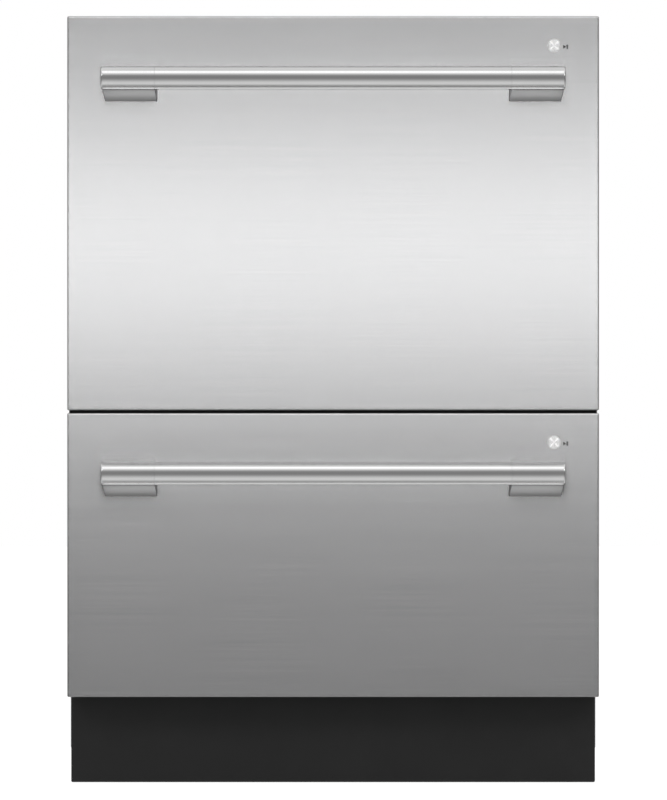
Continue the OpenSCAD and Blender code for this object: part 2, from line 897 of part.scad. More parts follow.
module handle_bracket(d) {
    spigot_l = 24;
    spigot_r = bar_r - bar_wall - 0.1;
    bar_y = front_y - bar_reach;
    plan_h = 2 * (foot_fall + bar_r);
    translate([sleeve_x0, bar_y, bar_z(d)])
        handle_sleeve();
    rod_x(sleeve_x0 - spigot_l, sleeve_x0 + eps, bar_y, bar_z(d), spigot_r);
    intersection() {
        translate([0, bar_y, bar_z(d)])
            rotate([90, 0, 90])
                linear_extrude(handle_l / 2)
                    bracket_profile();
        // The plan of the arm: full width at the bar, drawn in towards its foot
        translate([0, bar_y, bar_z(d) - plan_h / 2])
            linear_extrude(plan_h)
                polygon([
                    [sleeve_x0, 0],
                    [sleeve_x0, bar_r],
                    [foot_x0, bar_reach],
                    [foot_x1, bar_reach],
                    [handle_l / 2 - sleeve_edge_r, bar_r * 0.8],
                    [handle_l / 2 - sleeve_edge_r, 0]
                ]);
    }
    for (x = [foot_x0 + stud_in, foot_x1 - stud_in])
        rod_y(x, front_y - 1, front_y + stud_l, stud_z(d), stud_r);
}

module handle_brackets(d) {
    color(bright)
        both_sides()
            handle_bracket(d);
}

// Drawer tub and its fittings

module tub(d) {
    z0 = tub_z(d);
    rim = rim_z(d);
    w = tub_wall;
    rib_pitch = 85;
    rib_t = 3;
    color(pale)
        difference() {
            union() {
                coved_block(tub_x, tub_y0, tub_y1, z0, rim, tub_corner_r, tub_cove_r);
                plan_slab(tub_x + rim_w, tub_y0 - rim_w, tub_y1 + rim_w, rim - rim_t, rim,
                          tub_corner_r + rim_w);
                rod_z(0, tub_cy, z0 - sump_depth, z0 + 1, sump_r);
                both_sides() {
                    // Bars that sit in the inner slide channels
                    block([tub_x - 1, rail_y0 + 44, rail_z(d) + inner_web + rail_t],
                          [boss_x, rail_y1 - 44, rail_z(d) + rail_h - inner_web - rail_t]);
                    // Upright stiffening ribs above the slides
                    for (y = [-2 : 2] * rib_pitch)
                        block([tub_x - 1, tub_cy + y - rib_t / 2, rail_z(d) + rail_h + 4],
                              [tub_x + rim_w - 1, tub_cy + y + rib_t / 2, rim - rim_t + eps]);
                }
                // Upright ribs on the rear wall, and the two hose spigots
                for (x = [-2 : 2] * rib_pitch)
                    block([x - rib_t / 2, tub_y1 - 1, z0 + tub_cove_r],
                          [x + rib_t / 2, tub_y1 + rim_w - 1, rim - rim_t + eps]);
                for (x = [-45, 45])
                    rod_y(x, tub_y1 - 1, tub_y1 + 22, z0 + 34, 9);
            }
            coved_block(tub_x - w, tub_y0 + w, tub_y1 - w, z0 + w, rim + 1,
                        tub_corner_r - w, tub_cove_r - w);
            // The round sump, with a ledge for the filter plate
            rod_z(0, tub_cy, ledge_z(d), z0 + w + 1, sump_in_r);
            rod_z(0, tub_cy, z0 - sump_depth + w, z0 + w + 1, sump_in_r - ledge_w);
            rod_z(0, tub_cy, z0 - sump_depth - 1, z0, shaft_d / 2 + turn_fit);
        }
}

function ledge_z(d) = floor_z(d) - filter_t - 2;

module filter_plate(d) {
    z = ledge_z(d);
    slot_w = 2.4;
    color(dark)
        difference() {
            union() {
                rod_z(0, tub_cy, z, z + filter_t, filter_r);
                // Raised ring and the post that carries the spray arm
                rod_z(0, tub_cy, z, z + filter_t + filter_lift, hub_r + 14);
                rod_z(0, tub_cy, z, floor_z(d) + arm_lift + arm_h - 3, arm_post_d / 2);
            }
            // Two rings of fine radial slots
            for (ring = [0, 1], i = [0 : 23])
                translate([0, tub_cy, z - 1])
                    rotate(i * 15 + ring * 7.5)
                        translate([hub_r + 20 + ring * 27, -slot_w / 2, 0])
                            cube([22, slot_w, filter_t + 2]);
        }
}

module spray_arm(d) {
    z = floor_z(d) + arm_lift;
    tip_r = 16;
    nozzles = 7;
    first_r = hub_r + 14;
    nozzle_pitch = (arm_r - first_r - 26) / (nozzles - 1);
    color(grey)
        translate([0, tub_cy, z])
            difference() {
                union() {
                    cylinder(h = arm_h + 2, r = hub_r);
                    // Two tapered wings, thin at the tips
                    for (s = [0, 180])
                        rotate(s)
                            hull() {
                                translate([0, 0, 1])
                                    cylinder(h = arm_h - 2, r = hub_r - 3, $fn = 32);
                                translate([arm_r - tip_r, 0, arm_h / 2])
                                    scale([1, 1, 0.35])
                                        sphere(r = tip_r, $fn = 24);
                            }
                }
                translate([0, 0, -1])
                    cylinder(h = arm_h + 4, r = arm_post_d / 2 + turn_fit);
                // Nozzles along both wings
                for (s = [0, 180], i = [0 : nozzles - 1])
                    rotate(s)
                        translate([first_r + i * nozzle_pitch, (i % 2) * 8 - 4, 2])
                            cylinder(h = arm_h, r = 1.6, $fn = 24);
            }
}

module rotor(d) {
    z0 = tub_z(d) - sump_depth + tub_wall;
    vane_h = 7;
    vanes = 6;
    bow_r = rotor_d * 0.26;
    color(dark)
        translate([0, tub_cy, 0]) {
            // The shaft down into the motor, the disc and its curved vanes
            rod_z(0, 0, z0 - tub_wall - motor_h + 6, z0 + 9, shaft_d / 2);
            rod_z(0, 0, z0 + 0.6, z0 + 2.6, rotor_d / 2);
            for (i = [0 : vanes - 1])
                rotate(i * 360 / vanes)
                    intersection() {
                        translate([rotor_d / 2 - bow_r, 0, z0 + 2.6 - eps])
                            difference() {
                                cylinder(h = vane_h, r = bow_r);
                                translate([0, 0, -1])
                                    cylinder(h = vane_h + 2, r = bow_r - 1.6);
                            }
                        block([-rotor_d, 0, z0], [rotor_d, rotor_d, z0 + 20]);
                        rod_z(0, 0, z0, z0 + 20, rotor_d / 2 - 1);
                    }
        }
}

module wash_motor(d) {
    z1 = tub_z(d) - sump_depth;
    z0 = z1 - motor_h;
    ears = 3;
    color(dark)
        translate([0, tub_cy, 0])
            difference() {
                union() {
                    rod_z(0, 0, z0, z1, motor_d / 2);
                    for (i = [0 : ears - 1])
                        rotate(i * 360 / ears + 90)
                            block([motor_d / 2 - 4, -9, z1 - 6], [motor_d / 2 + 14, 9, z1]);
                    // Plug housing
                    block([-16, motor_d / 2 - 6, z0 + 3], [16, motor_d / 2 + 12, z0 + 15]);
                }
                rod_z(0, 0, z0 + 4, z1 + 1, shaft_d / 2 + turn_fit);
                // Cooling grooves around the underside
                for (i = [0 : 15])
                    rotate(i * 22.5)
                        block([motor_d * 0.28, -2, z0 - 1], [motor_d * 0.44, 2, z0 + 2]);
            }
}

module dispenser(d) {
    y0 = tub_y0 + tub_wall;
    y1 = y0 + disp_d;
    z1 = rim_z(d) - disp_drop;
    z0 = z1 - disp_h;
    zc = (z0 + z1) / 2;
    groove_x = -disp_x + 5;
    color(pale)
        difference() {
            front_slab(disp_x, z0, z1, y0, y1, 8);
            // Groove that the cover slides in, undercut at both edges
            block([groove_x, y1 - cover_lip, zc - cover_w / 2 - side_fit],
                  [disp_x + 1, y1 + 1, zc + cover_w / 2 + side_fit]);
            block([groove_x, y1 - cover_d, zc - cover_w / 2 - cover_tuck],
                  [disp_x + 1, y1 - cover_lip + eps, zc + cover_w / 2 + cover_tuck]);
            // The detergent cup
            rod_y(cup_x, y0 + 3, y1, zc, cup_r);
        }
}

module dispenser_cover(d) {
    y1 = tub_y0 + tub_wall + disp_d;
    zc = rim_z(d) - disp_drop - disp_h / 2;
    x0 = cup_x - cup_r - 10;
    x1 = cup_x + cup_r + 8;
    tuck_z = cover_w / 2 + cover_tuck - side_fit;
    face_z = cover_w / 2 - side_fit;
    grip_h = 10;
    color(grey) {
        block([x0, y1 - cover_d + side_fit, zc - tuck_z], [x1, y1 - cover_lip - side_fit, zc + tuck_z]);
        block([x0, y1 - cover_lip - side_fit - eps, zc - face_z],
              [x1, y1 - cover_lip + side_fit + eps, zc + face_z]);
        // Thumb grip ribs
        for (i = [0 : 3])
            translate([x1 - 6 - i * 4, y1 - cover_lip + side_fit, zc - grip_h])
                cube([1.5, cover_lip + side_fit, 2 * grip_h]);
    }
}

// Lids

module lid(d) {
    z0 = rim_z(d) + lid_z0;
    y0 = tub_y0 - rim_w;
    y1 = tub_y1 + rim_w;
    nx = 5;
    ny = 4;
    rim = 14;
    rib = 3;
    cell_x = (2 * lid_x - 2 * rim - (nx - 1) * rib) / nx;
    cell_y = (y1 - y0 - 2 * rim - (ny - 1) * rib) / ny;
    color(pale) {
        difference() {
            plan_slab(lid_x, y0, y1, z0, z0 + lid_t, lid_r);
            // Pockets between the stiffening ribs on the top
            for (i = [0 : nx - 1], k = [0 : ny - 1])
                translate([-lid_x + rim + cell_x / 2 + i * (cell_x + rib),
                           y0 + rim + cell_y / 2 + k * (cell_y + rib), z0 + 3])
                    linear_extrude(lid_t)
                        round_rect(cell_x, cell_y, lid_pocket_r);
        }
        both_sides()
            for (y = actuator_y)
                rod_x(lid_x - 4, inner_x - 4, y, rim_z(d) + lug_z, lug_r);
    }
}

module lid_seal(d) {
    z1 = rim_z(d) + lid_z0;
    z0 = z1 - seal_h;
    mid = tub_x + rim_w / 2 - tub_wall / 2;
    step_z = z0 + seal_h * 0.4;
    color(dark) {
        seal_ring(mid, seal_w / 2, step_z, z1);
        seal_ring(mid, seal_w / 4, z0, step_z + eps);
    }
}

// A ring that follows the tub's rim, from the centre line out by half its width each way
module seal_ring(mid, half, z0, z1) {
    inset = tub_x - mid;
    r = tub_corner_r - inset;
    difference() {
        plan_slab(mid + half, tub_y0 + inset - half, tub_y1 - inset + half, z0, z1, r + half);
        plan_slab(mid - half, tub_y0 + inset + half, tub_y1 - inset - half,
                  z0 - 1, z1 + 1, r - half);
    }
}

// Racks

module rack(d) {
    zb = rack_z(d);
    zc = cross_z(d);
    stand = stand_z(d);
    top = rim_z(d) - rack_rim_drop - wire_d - weld_gap;
    side_x = rack_x - wire_r;
    end_y = [rack_y0 + wire_r, rack_y1 - wire_r];
    $fn = WIRE_FN;
    color(bright) {
        // Runners front to back, cross wires on top of them
        for (i = [0 : runner_n - 1])
            rod_y(runner_x(i), rack_y0, rack_y1, zb, wire_r);
        for (i = [0 : cross_n - 1])
            rod_x(-rack_x, rack_x, cross_y(i), zc, wire_r);
        // Uprights at the sides stand on the cross wires, the others on the runners
        for (i = [0 : cross_n - 1], x = [-side_x, side_x])
            rod_z(x, cross_y(i), stand, top, wire_r);
        for (i = [0 : runner_n - 1], y = end_y)
            rod_z(runner_x(i), y, zb + wire_r + weld_gap, top, wire_r);
        // Rim
        for (x = [-side_x, side_x])
            rod_y(x, rack_y0, rack_y1, top + weld_gap + wire_r, wire_r);
        for (y = end_y)
            rod_x(-side_x + wire_step, side_x - wire_step, y, top + weld_gap + wire_r, wire_r);
        // Belts inside the uprights
        for (x = [-belt_x, belt_x])
            rod_y(x, rack_y0 + wire_d + 3, rack_y1 - wire_d - 3, shelf_z(d), wire_r);
        for (y = [rack_y0 + wire_r + wire_step, rack_y1 - wire_r - wire_step])
            rod_x(-belt_x + wire_step, belt_x - wire_step, y, shelf_z(d), wire_r);
        // Fixed rows of tines
        for (row = tine_rows, i = [0 : tine_n - 1])
            rod_z(tine_x(i), cross_y(row), stand, stand + tine_h, tine_d / 2);
        // Feet that stand on the tub's floor
        for (i = [0, runner_n - 1], y = [rack_y0 + cross_in, rack_y1 - cross_in])
            rod_z(runner_x(i), y, floor_z(d), zb - wire_r - weld_gap, 5);
        // Clips that hold the folding comb's rod
        for (i = comb_runners)
            difference() {
                block([runner_x(i) - 4, comb_y - 6, zb + wire_r + weld_gap],
                      [runner_x(i) + 4, comb_y + 6, comb_z(d) + comb_r + 2.5]);
                rod_x(runner_x(i) - 5, runner_x(i) + 5, comb_y, comb_z(d), comb_r + turn_fit);
            }
    }
}

module fold_tines(d) {
    z = comb_z(d);
    $fn = WIRE_FN;
    color(pale) {
        rod_x(tine_x(0) - comb_end, tine_x(tine_n - 1) + comb_end, comb_y, z, comb_r);
        for (i = [0 : tine_n - 1])
            rod_z(tine_x(i), comb_y, z + comb_r + weld_gap, z + tine_h, tine_d / 2);
    }
}

module cup_shelf(d) {
    z = shelf_z(d);
    x0 = -belt_x;
    x1 = x0 + shelf_w;
    first = cross_y(2) + cross_pitch / 2;
    last = cross_y(8) + cross_pitch / 2;
    scallops = 3;
    scallop_pitch = (last - first) / scallops;
    end = 15;
    slots = 10;
    slot_l = 6;
    slot_pitch = (last - first + 2 * slot_l) / (slots - 1);
    color(pale)
        difference() {
            union() {
                block([x0 + knuckle_r - 1, first - end, z - shelf_t / 2],
                      [x1, last + end, z + shelf_t / 2]);
                for (y = [first, last]) {
                    rod_y(x0, y - knuckle_l / 2, y + knuckle_l / 2, z, knuckle_r);
                    block([x0, y - knuckle_l / 2, z - shelf_t / 2],
                          [x0 + knuckle_r, y + knuckle_l / 2, z + shelf_t / 2]);
                }
                // A low lip along the inner edge
                block([x1 - 3, first - end, z - shelf_t / 2], [x1, last + end, z + shelf_t / 2 + 4]);
            }
            for (y = [first, last])
                rod_y(x0, y - knuckle_l / 2 - 1, y + knuckle_l / 2 + 1, z, wire_r + turn_fit);
            // Notches for the stems of glasses, and drain slots
            for (i = [0 : scallops - 1])
                rod_z(x1, first + (i + 0.5) * scallop_pitch, z - 5, z + 10, 10);
            for (i = [0 : slots - 1])
                translate([x0 + knuckle_r + 6, first - 1.5 * slot_l + i * slot_pitch, z - 5])
                    cube([shelf_w - knuckle_r - 24, slot_l, 10]);
        }
}

module cutlery_basket(d) {
    z0 = stand_z(d) + side_fit;
    z1 = z0 + basket_h;
    x0 = basket_x1 - basket_w;
    y1 = basket_y0 + basket_l;
    w = basket_wall;
    cells = 3;
    cell_w = basket_w - 2 * w;
    cell_l = (basket_l - (cells + 1) * w) / cells;
    cell_y = [for (i = [0 : cells - 1]) basket_y0 + w + i * (cell_l + w)];
    slot_w = 5;
    side_slots = 5;
    end_slots = 7;
    slot_z = z0 + 12;
    slot_h = basket_h - 34;
    color(dark)
        difference() {
            block([x0, basket_y0, z0], [basket_x1, y1, z1]);
            for (y = cell_y)
                block([x0 + w, y, z0 + w], [basket_x1 - w, y + cell_l, z1 + 1]);
            // Upright slots through the long walls of each cell
            for (y = cell_y, k = [0 : side_slots - 1])
                translate([x0 - 1, y + (k + 0.5) * cell_l / side_slots - slot_w / 2, slot_z])
                    cube([basket_w + 2, slot_w, slot_h]);
            // Slots through the end walls
            for (k = [0 : end_slots - 1])
                translate([x0 + w + (k + 0.5) * cell_w / end_slots - slot_w / 2, basket_y0 - 1, slot_z])
                    cube([slot_w, basket_l + 2, slot_h]);
            // Drain holes in the floor
            for (y = cell_y, k = [0 : 3], j = [0 : 2])
                rod_z(x0 + w + (k + 0.5) * cell_w / 4, y + (j + 0.5) * cell_l / 3,
                      z0 - 1, z0 + w + 1, 3);
        }
}

left_side_panel();
right_side_panel();
back_panel();
top_panel();
base_tray();
divider_shelf();
divider_trim();
toe_kick();
fixed_rails();
cabinet_brackets();
inlet_valve();
drain_joiner();
chassis_screws();
lid_actuators();
levelling_foot(-foot_x, foot_y[0]);  // front_left_foot
levelling_foot(foot_x, foot_y[0]);  // front_right_foot
levelling_foot(-foot_x, foot_y[1]);  // rear_left_foot
levelling_foot(foot_x, foot_y[1]);  // rear_right_foot
front_panel(LOWER);  // lower_front_panel
front_panel(UPPER);  // upper_front_panel
front_liner(LOWER);  // lower_front_liner
front_liner(UPPER);  // upper_front_liner
handle_bar(LOWER);  // lower_handle_bar
handle_bar(UPPER);  // upper_handle_bar
handle_brackets(LOWER);  // lower_handle_brackets
handle_brackets(UPPER);  // upper_handle_brackets
start_button(LOWER);  // lower_start_button
start_button(UPPER);  // upper_start_button
control_fascia(LOWER);  // lower_control_fascia
control_fascia(UPPER);  // upper_control_fascia
tub(LOWER);  // lower_tub
tub(UPPER);  // upper_tub
drawer_rails(LOWER);  // lower_drawer_rails
drawer_rails(UPPER);  // upper_drawer_rails
mid_rails(LOWER);  // lower_mid_rails
mid_rails(UPPER);  // upper_mid_rails
lid(LOWER);  // lower_lid
lid(UPPER);  // upper_lid
lid_seal(LOWER);  // lower_lid_seal
lid_seal(UPPER);  // upper_lid_seal
spray_arm(LOWER);  // lower_spray_arm
spray_arm(UPPER);  // upper_spray_arm
filter_plate(LOWER);  // lower_filter_plate
filter_plate(UPPER);  // upper_filter_plate
rotor(LOWER);  // lower_rotor
rotor(UPPER);  // upper_rotor
wash_motor(LOWER);  // lower_wash_motor
wash_motor(UPPER);  // upper_wash_motor
rack(LOWER);  // lower_rack
rack(UPPER);  // upper_rack
fold_tines(LOWER);  // lower_fold_tines
fold_tines(UPPER);  // upper_fold_tines
cup_shelf(LOWER);  // lower_cup_shelf
cup_shelf(UPPER);  // upper_cup_shelf
cutlery_basket(LOWER);  // lower_cutlery_basket
cutlery_basket(UPPER);  // upper_cutlery_basket
dispenser(LOWER);  // lower_dispenser
dispenser(UPPER);  // upper_dispenser
dispenser_cover(LOWER);  // lower_dispenser_cover
dispenser_cover(UPPER);  // upper_dispenser_cover
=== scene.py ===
"""Looks of a built-in double drawer dishwasher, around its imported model, in metres."""
import json
import math

import bmesh
import bpy
from mathutils import Matrix, Quaternion, Vector


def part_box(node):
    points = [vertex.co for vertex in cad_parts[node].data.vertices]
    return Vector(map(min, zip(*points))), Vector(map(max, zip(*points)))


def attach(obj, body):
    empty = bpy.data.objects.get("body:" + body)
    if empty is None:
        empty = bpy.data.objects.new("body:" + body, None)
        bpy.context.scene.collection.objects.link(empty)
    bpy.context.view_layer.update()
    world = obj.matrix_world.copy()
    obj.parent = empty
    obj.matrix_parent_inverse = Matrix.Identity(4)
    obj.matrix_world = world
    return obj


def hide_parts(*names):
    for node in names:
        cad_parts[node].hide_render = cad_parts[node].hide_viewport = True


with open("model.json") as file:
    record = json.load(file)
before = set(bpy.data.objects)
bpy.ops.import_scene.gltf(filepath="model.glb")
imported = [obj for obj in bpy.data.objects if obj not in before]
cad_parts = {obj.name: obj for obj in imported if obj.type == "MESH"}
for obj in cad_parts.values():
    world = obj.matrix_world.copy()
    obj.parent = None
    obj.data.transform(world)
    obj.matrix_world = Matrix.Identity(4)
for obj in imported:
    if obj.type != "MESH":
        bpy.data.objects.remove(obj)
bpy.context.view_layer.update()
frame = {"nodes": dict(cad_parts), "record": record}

MM = 0.001
TINY = 1e-5
X, Y, Z = Vector((1, 0, 0)), Vector((0, 1, 0)), Vector((0, 0, 1))
DRAWERS = ("lower", "upper")

# Photograph: 800 pixels high, 1.1265 mm per pixel at the fronts
PIXEL = 1.1265 * MM
PHOTO_H = 800
PHOTO_MIDDLE = (333.5, 400)
FRONT_MIDDLE_X = 333.1
FLOOR_LINE = 783.2
LENS = 1000
SENSOR = 36

# Lamps of the fronts, in metres and degrees
BAND_AWAY = 1.3
SKY_AWAY = 14
SKY_RISE = 26
SKY_AIM_Z = 0.5

# Sizes that the frame's boxes don't give
EDGE_R = 1.7 * MM
SKIN_T = 1.2 * MM
BUTTON_HOLE_R = 7.3 * MM
BAR_WALL = 2 * MM
SEAM_R = 0.15 * MM
SLEEVE_R = 1.5 * MM
SLEEVE_GAP = 0.05 * MM
ARM_EDGE_R = 1.2 * MM
FOOT_WIDEN = 3 * MM
FOOT_DRAW_IN = 5 * MM
FOOT_RISE = 9 * MM
TOE_SHEET = 1.5 * MM
TOE_EDGE_R = 1.8 * MM
WIRE_R = 2 * MM
TINE_R = 1.75 * MM
COMB_R = 2.5 * MM
RACK_RISE = 44 * MM
WELD_GAP = 0.05 * MM
WIRE_STEP = 2 * WIRE_R + WELD_GAP
CROSS_WIRES = 13
CROSS_IN = 20 * MM
RUNNERS = 9
RUNNER_IN = 18 * MM
BEND_R = 12 * MM
BEND_STEPS = 6
TINES = 12
TINE_PITCH = 24 * MM
TINE_H = 88 * MM
TINE_ROWS = (6, 9)
COMB_RUNNERS = (1, 6)
RACK_FOOT_R = 5 * MM
CLIP_W = 8 * MM
CLIP_D = 12 * MM
ARM_R = 212 * MM
ARM_HUB_R = 18 * MM
NOZZLES = 7
NOZZLE_R = 1.6 * MM
ARM_TOP = 11.2 * MM
THREAD_PITCH = 1.5 * MM
THREAD_DEPTH = 0.6 * MM

BODY_OF = {node: body for body, nodes in frame["record"]["behaviour"]["bodies"].items() for node in nodes}
SLOT_OF = {part["node"]: part["material_slot"] for part in frame["record"]["subparts"]}

# Easing of the mouldings' edges, in millimetres; a name that isn't a node's is one of each drawer's
EASED = {
    "lid": 1.0, "front_liner": 0.6, "control_fascia": 0.5, "tub": 0.8, "cup_shelf": 0.5,
    "cutlery_basket": 0.5, "dispenser": 0.6, "dispenser_cover": 0.4, "inlet_valve": 0.4,
    "drain_joiner": 0.4, "wash_motor": 0.6, "lid_actuators": 0.4, "divider_trim": 0.4, "rotor": 0.2,
    "filter_plate": 0.2, "lid_seal": 0.0, "chassis_screws": 0.0, "left_side_panel": 0.0,
    "right_side_panel": 0.0, "back_panel": 0.0, "top_panel": 0.0, "base_tray": 0.0,
    "divider_shelf": 0.0, "cabinet_brackets": 0.0, "fixed_rails": 0.0, "drawer_rails": 0.0,
    "mid_rails": 0.0,
}


# Materials

class Value:
    """A shader socket that takes part in Python arithmetic, through Math nodes."""

    def __init__(self, finish, socket):
        self.finish = finish
        self.socket = socket

    def math(self, operation, *terms):
        return self.finish.node("ShaderNodeMath", {"operation": operation}, dict(enumerate(terms)))

    def __add__(self, other):
        return self.math("ADD", self, other)

    __radd__ = __add__

    def __mul__(self, other):
        return self.math("MULTIPLY", self, other)

    __rmul__ = __mul__

    def smooth(self, low, high):
        """0 below low, 1 above high, smooth between"""
        return self.finish.node(
            "ShaderNodeMapRange", {"interpolation_type": "SMOOTHSTEP"}, {0: self, 1: low, 2: high}
        )


class Finish:
    """The node tree of a material or of the world."""

    def __init__(self, owner):
        owner.use_nodes = True
        self.owner = owner
        self.tree = owner.node_tree
        self.tree.nodes.clear()

    def node(self, kind, settings=None, sockets=None, output=0):
        made = self.tree.nodes.new(kind)
        for name, value in (settings or {}).items():
            if name == "stops":
                ramp = made.color_ramp.elements
                while len(ramp) < len(value):
                    ramp.new(0.5)
                for stop, (place, level) in zip(ramp, value):
                    stop.position = place
                    stop.color = tone(level)
            else:
                setattr(made, name, value)
        for name, value in (sockets or {}).items():
            if isinstance(value, Value):
                self.tree.links.new(value.socket, made.inputs[name])
            else:
                made.inputs[name].default_value = value
        return Value(self, made.outputs[output])

    def place(self, stretch):
        """The position on the object, in metres, with the pattern repeated stretch times a metre"""
        where = self.node("ShaderNodeTexCoord", output="Object")
        return self.node("ShaderNodeMapping", {}, {"Vector": where, "Scale": stretch})

    def noise(self, stretch, detail=2.0):
        sockets = {"Vector": self.place(stretch), "Scale": 1.0, "Detail": detail}
        return self.node("ShaderNodeTexNoise", {}, sockets)

    def cells(self, size):
        sockets = {"Vector": self.place((1 / size,) * 3), "Scale": 1.0}
        return self.node("ShaderNodeTexVoronoi", {}, sockets, output="Color")

    def mix(self, factor, first, second):
        sockets = {0: factor, 6: first, 7: second}
        return self.node("ShaderNodeMix", {"data_type": "RGBA"}, sockets, output=2)

    def bump(self, height, depth):
        sockets = {"Height": height, "Distance": depth, "Strength": 1.0}
        return self.node("ShaderNodeBump", {}, sockets)

    def surface(self, **sockets):
        """Ends a material in one Principled shader"""
        named = {name.replace("_", " ").title(): value for name, value in sockets.items()}
        shader = self.node("ShaderNodeBsdfPrincipled", {}, named)
        self.node_output(shader)
        return self.owner

    def node_output(self, shader, kind="ShaderNodeOutputMaterial"):
        end = self.tree.nodes.new(kind)
        self.tree.links.new(shader.socket, end.inputs["Surface"])


def new_finish(name):
    return Finish(bpy.data.materials.new(name))


def tone(red, green=None, blue=None):
    """A colour for a socket, grey when only one value is given"""
    return (red, red if green is None else green, red if blue is None else blue, 1.0)


def brushed_steel():
    """Stainless sheet brushed from side to side"""
    finish = new_finish("brushed_steel")
    lines = finish.noise((6, 1500, 1500), detail=3.0)
    streaks = finish.noise((1.5, 260, 260))
    grain = lines * 0.75 + streaks * 0.25
    return finish.surface(
        base_color=finish.mix(grain, tone(0.355, 0.355, 0.357), tone(0.42, 0.42, 0.423)),
        metallic=1.0,
        roughness=grain * 0.08 + 0.19,
        anisotropic=0.75,
        anisotropic_rotation=0.25,
        normal=finish.bump(grain, 0.004 * MM),
    )


def polished_steel():
    """Drawn tube, polished with faint lines along it"""
    finish = new_finish("polished_steel")
    lines = finish.noise((8, 2200, 2200), detail=3.0)
    clouds = finish.noise((14, 14, 14))
    return finish.surface(
        base_color=finish.mix(clouds, tone(0.80, 0.80, 0.80), tone(0.86, 0.86, 0.86)),
        metallic=1.0,
        specular_tint=tone(0.25),
        roughness=lines * 0.07 + 0.10,
        normal=finish.bump(lines, 0.004 * MM),
    )


def satin_metal():
    """Cast bracket: its sleeve polished, its arm blasted"""
    finish = new_finish("satin_metal")
    grain = finish.noise((1800, 1800, 1800), detail=2.0)
    clouds = finish.noise((30, 30, 30))
    blasted = finish.node("ShaderNodeAttribute", {"attribute_name": "blasted"}, output="Fac")
    polish = finish.mix(clouds, tone(0.79, 0.79, 0.79), tone(0.85, 0.85, 0.85))
    return finish.surface(
        base_color=finish.mix(blasted, polish, tone(0.80)),
        metallic=1.0,
        specular_tint=tone(0.35),
        roughness=grain * 0.07 + blasted * 0.24 + 0.12,
        normal=finish.bump(grain, 0.006 * MM),
    )


def spun_metal():
    """Button head, turned in fine rings round its middle"""
    finish = new_finish("spun_metal")
    grain = finish.noise((2500, 2500, 2500))
    return finish.surface(
        base_color=finish.mix(grain, tone(0.84, 0.84, 0.84), tone(0.92, 0.92, 0.92)),
        metallic=1.0,
        roughness=grain * 0.06 + 0.09,
    )


def galvanised_steel():
    """Hot dip galvanised sheet with its spangle"""
    finish = new_finish("galvanised_steel")
    spangle = finish.node("ShaderNodeSeparateColor", {}, {"Color": finish.cells(7 * MM)})
    clouds = finish.noise((25, 25, 25), detail=4.0)
    grain = finish.noise((900, 900, 900))
    shade = spangle * 0.35 + clouds * 0.35 + grain * 0.3
    return finish.surface(
        base_color=finish.mix(shade, tone(0.60, 0.61, 0.62), tone(0.74, 0.75, 0.76)),
        metallic=0.7,
        roughness=shade * 0.16 + 0.38,
        normal=finish.bump(shade, 0.01 * MM),
    )


def slide_steel():
    """Zinc plated channel, drawn from front to back"""
    finish = new_finish("slide_steel")
    lines = finish.noise((1400, 12, 1400), detail=3.0)
    clouds = finish.noise((20, 6, 20))
    return finish.surface(
        base_color=finish.mix(clouds, tone(0.60, 0.61, 0.63), tone(0.74, 0.75, 0.76)),
        metallic=1.0,
        roughness=lines * 0.16 + 0.24,
        normal=finish.bump(lines, 0.01 * MM),
    )


def dark_steel():
    """Black zinc of the screws"""
    finish = new_finish("dark_steel")
    grain = finish.noise((1200, 1200, 1200), detail=3.0)
    return finish.surface(
        base_color=finish.mix(grain, tone(0.05, 0.05, 0.055), tone(0.13, 0.13, 0.14)),
        metallic=0.8,
        roughness=grain * 0.2 + 0.35,
        normal=finish.bump(grain, 0.02 * MM),
    )


def moulded_plastic(name, dark, light, gloss, grain_size=0.5 * MM):
    """Injection moulded plastic: a fine grain, and a faint unevenness of its colour"""
    finish = new_finish(name)
    grain = finish.noise((1 / grain_size,) * 3, detail=2.0)
    clouds = finish.noise((18, 18, 18), detail=3.0)
    return finish.surface(
        base_color=finish.mix(grain * 0.35 + clouds * 0.65, dark, light),
        roughness=grain * 0.12 + gloss,
        normal=finish.bump(grain, 0.015 * MM),
    )


def speckled_plastic():
    """Tub moulding, grey with fine darker and paler flecks"""
    finish = new_finish("tub_plastic")
    flecks = finish.noise((700, 700, 700), detail=1.0).smooth(0.60, 0.68)
    pale = finish.noise((520, 520, 520), detail=1.0).smooth(0.62, 0.70)
    clouds = finish.noise((12, 12, 12), detail=3.0)
    ground = finish.mix(clouds, tone(0.42, 0.435, 0.45), tone(0.50, 0.515, 0.53))
    flecked = finish.mix(flecks * 0.6, ground, tone(0.24, 0.25, 0.27))
    return finish.surface(
        base_color=finish.mix(pale * 0.5, flecked, tone(0.68, 0.69, 0.70)),
        roughness=clouds * 0.10 + 0.30,
        normal=finish.bump(finish.noise((380, 380, 380)), 0.02 * MM),
    )


def black_glass():
    """Glossy touch strip"""
    finish = new_finish("black_glass")
    haze = finish.noise((60, 60, 60), detail=3.0)
    return finish.surface(
        base_color=finish.mix(haze, tone(0.010, 0.010, 0.012), tone(0.022, 0.022, 0.026)),
        roughness=haze * 0.06 + 0.05,
        coat_weight=0.5,
    )


def wire_coating():
    """Pale nylon coat on the rack wires"""
    finish = new_finish("rack_wire")
    waves = finish.noise((260, 260, 260), detail=2.0)
    return finish.surface(
        base_color=finish.mix(waves, tone(0.62, 0.63, 0.64), tone(0.72, 0.73, 0.74)),
        roughness=waves * 0.14 + 0.22,
        normal=finish.bump(waves, 0.05 * MM),
    )


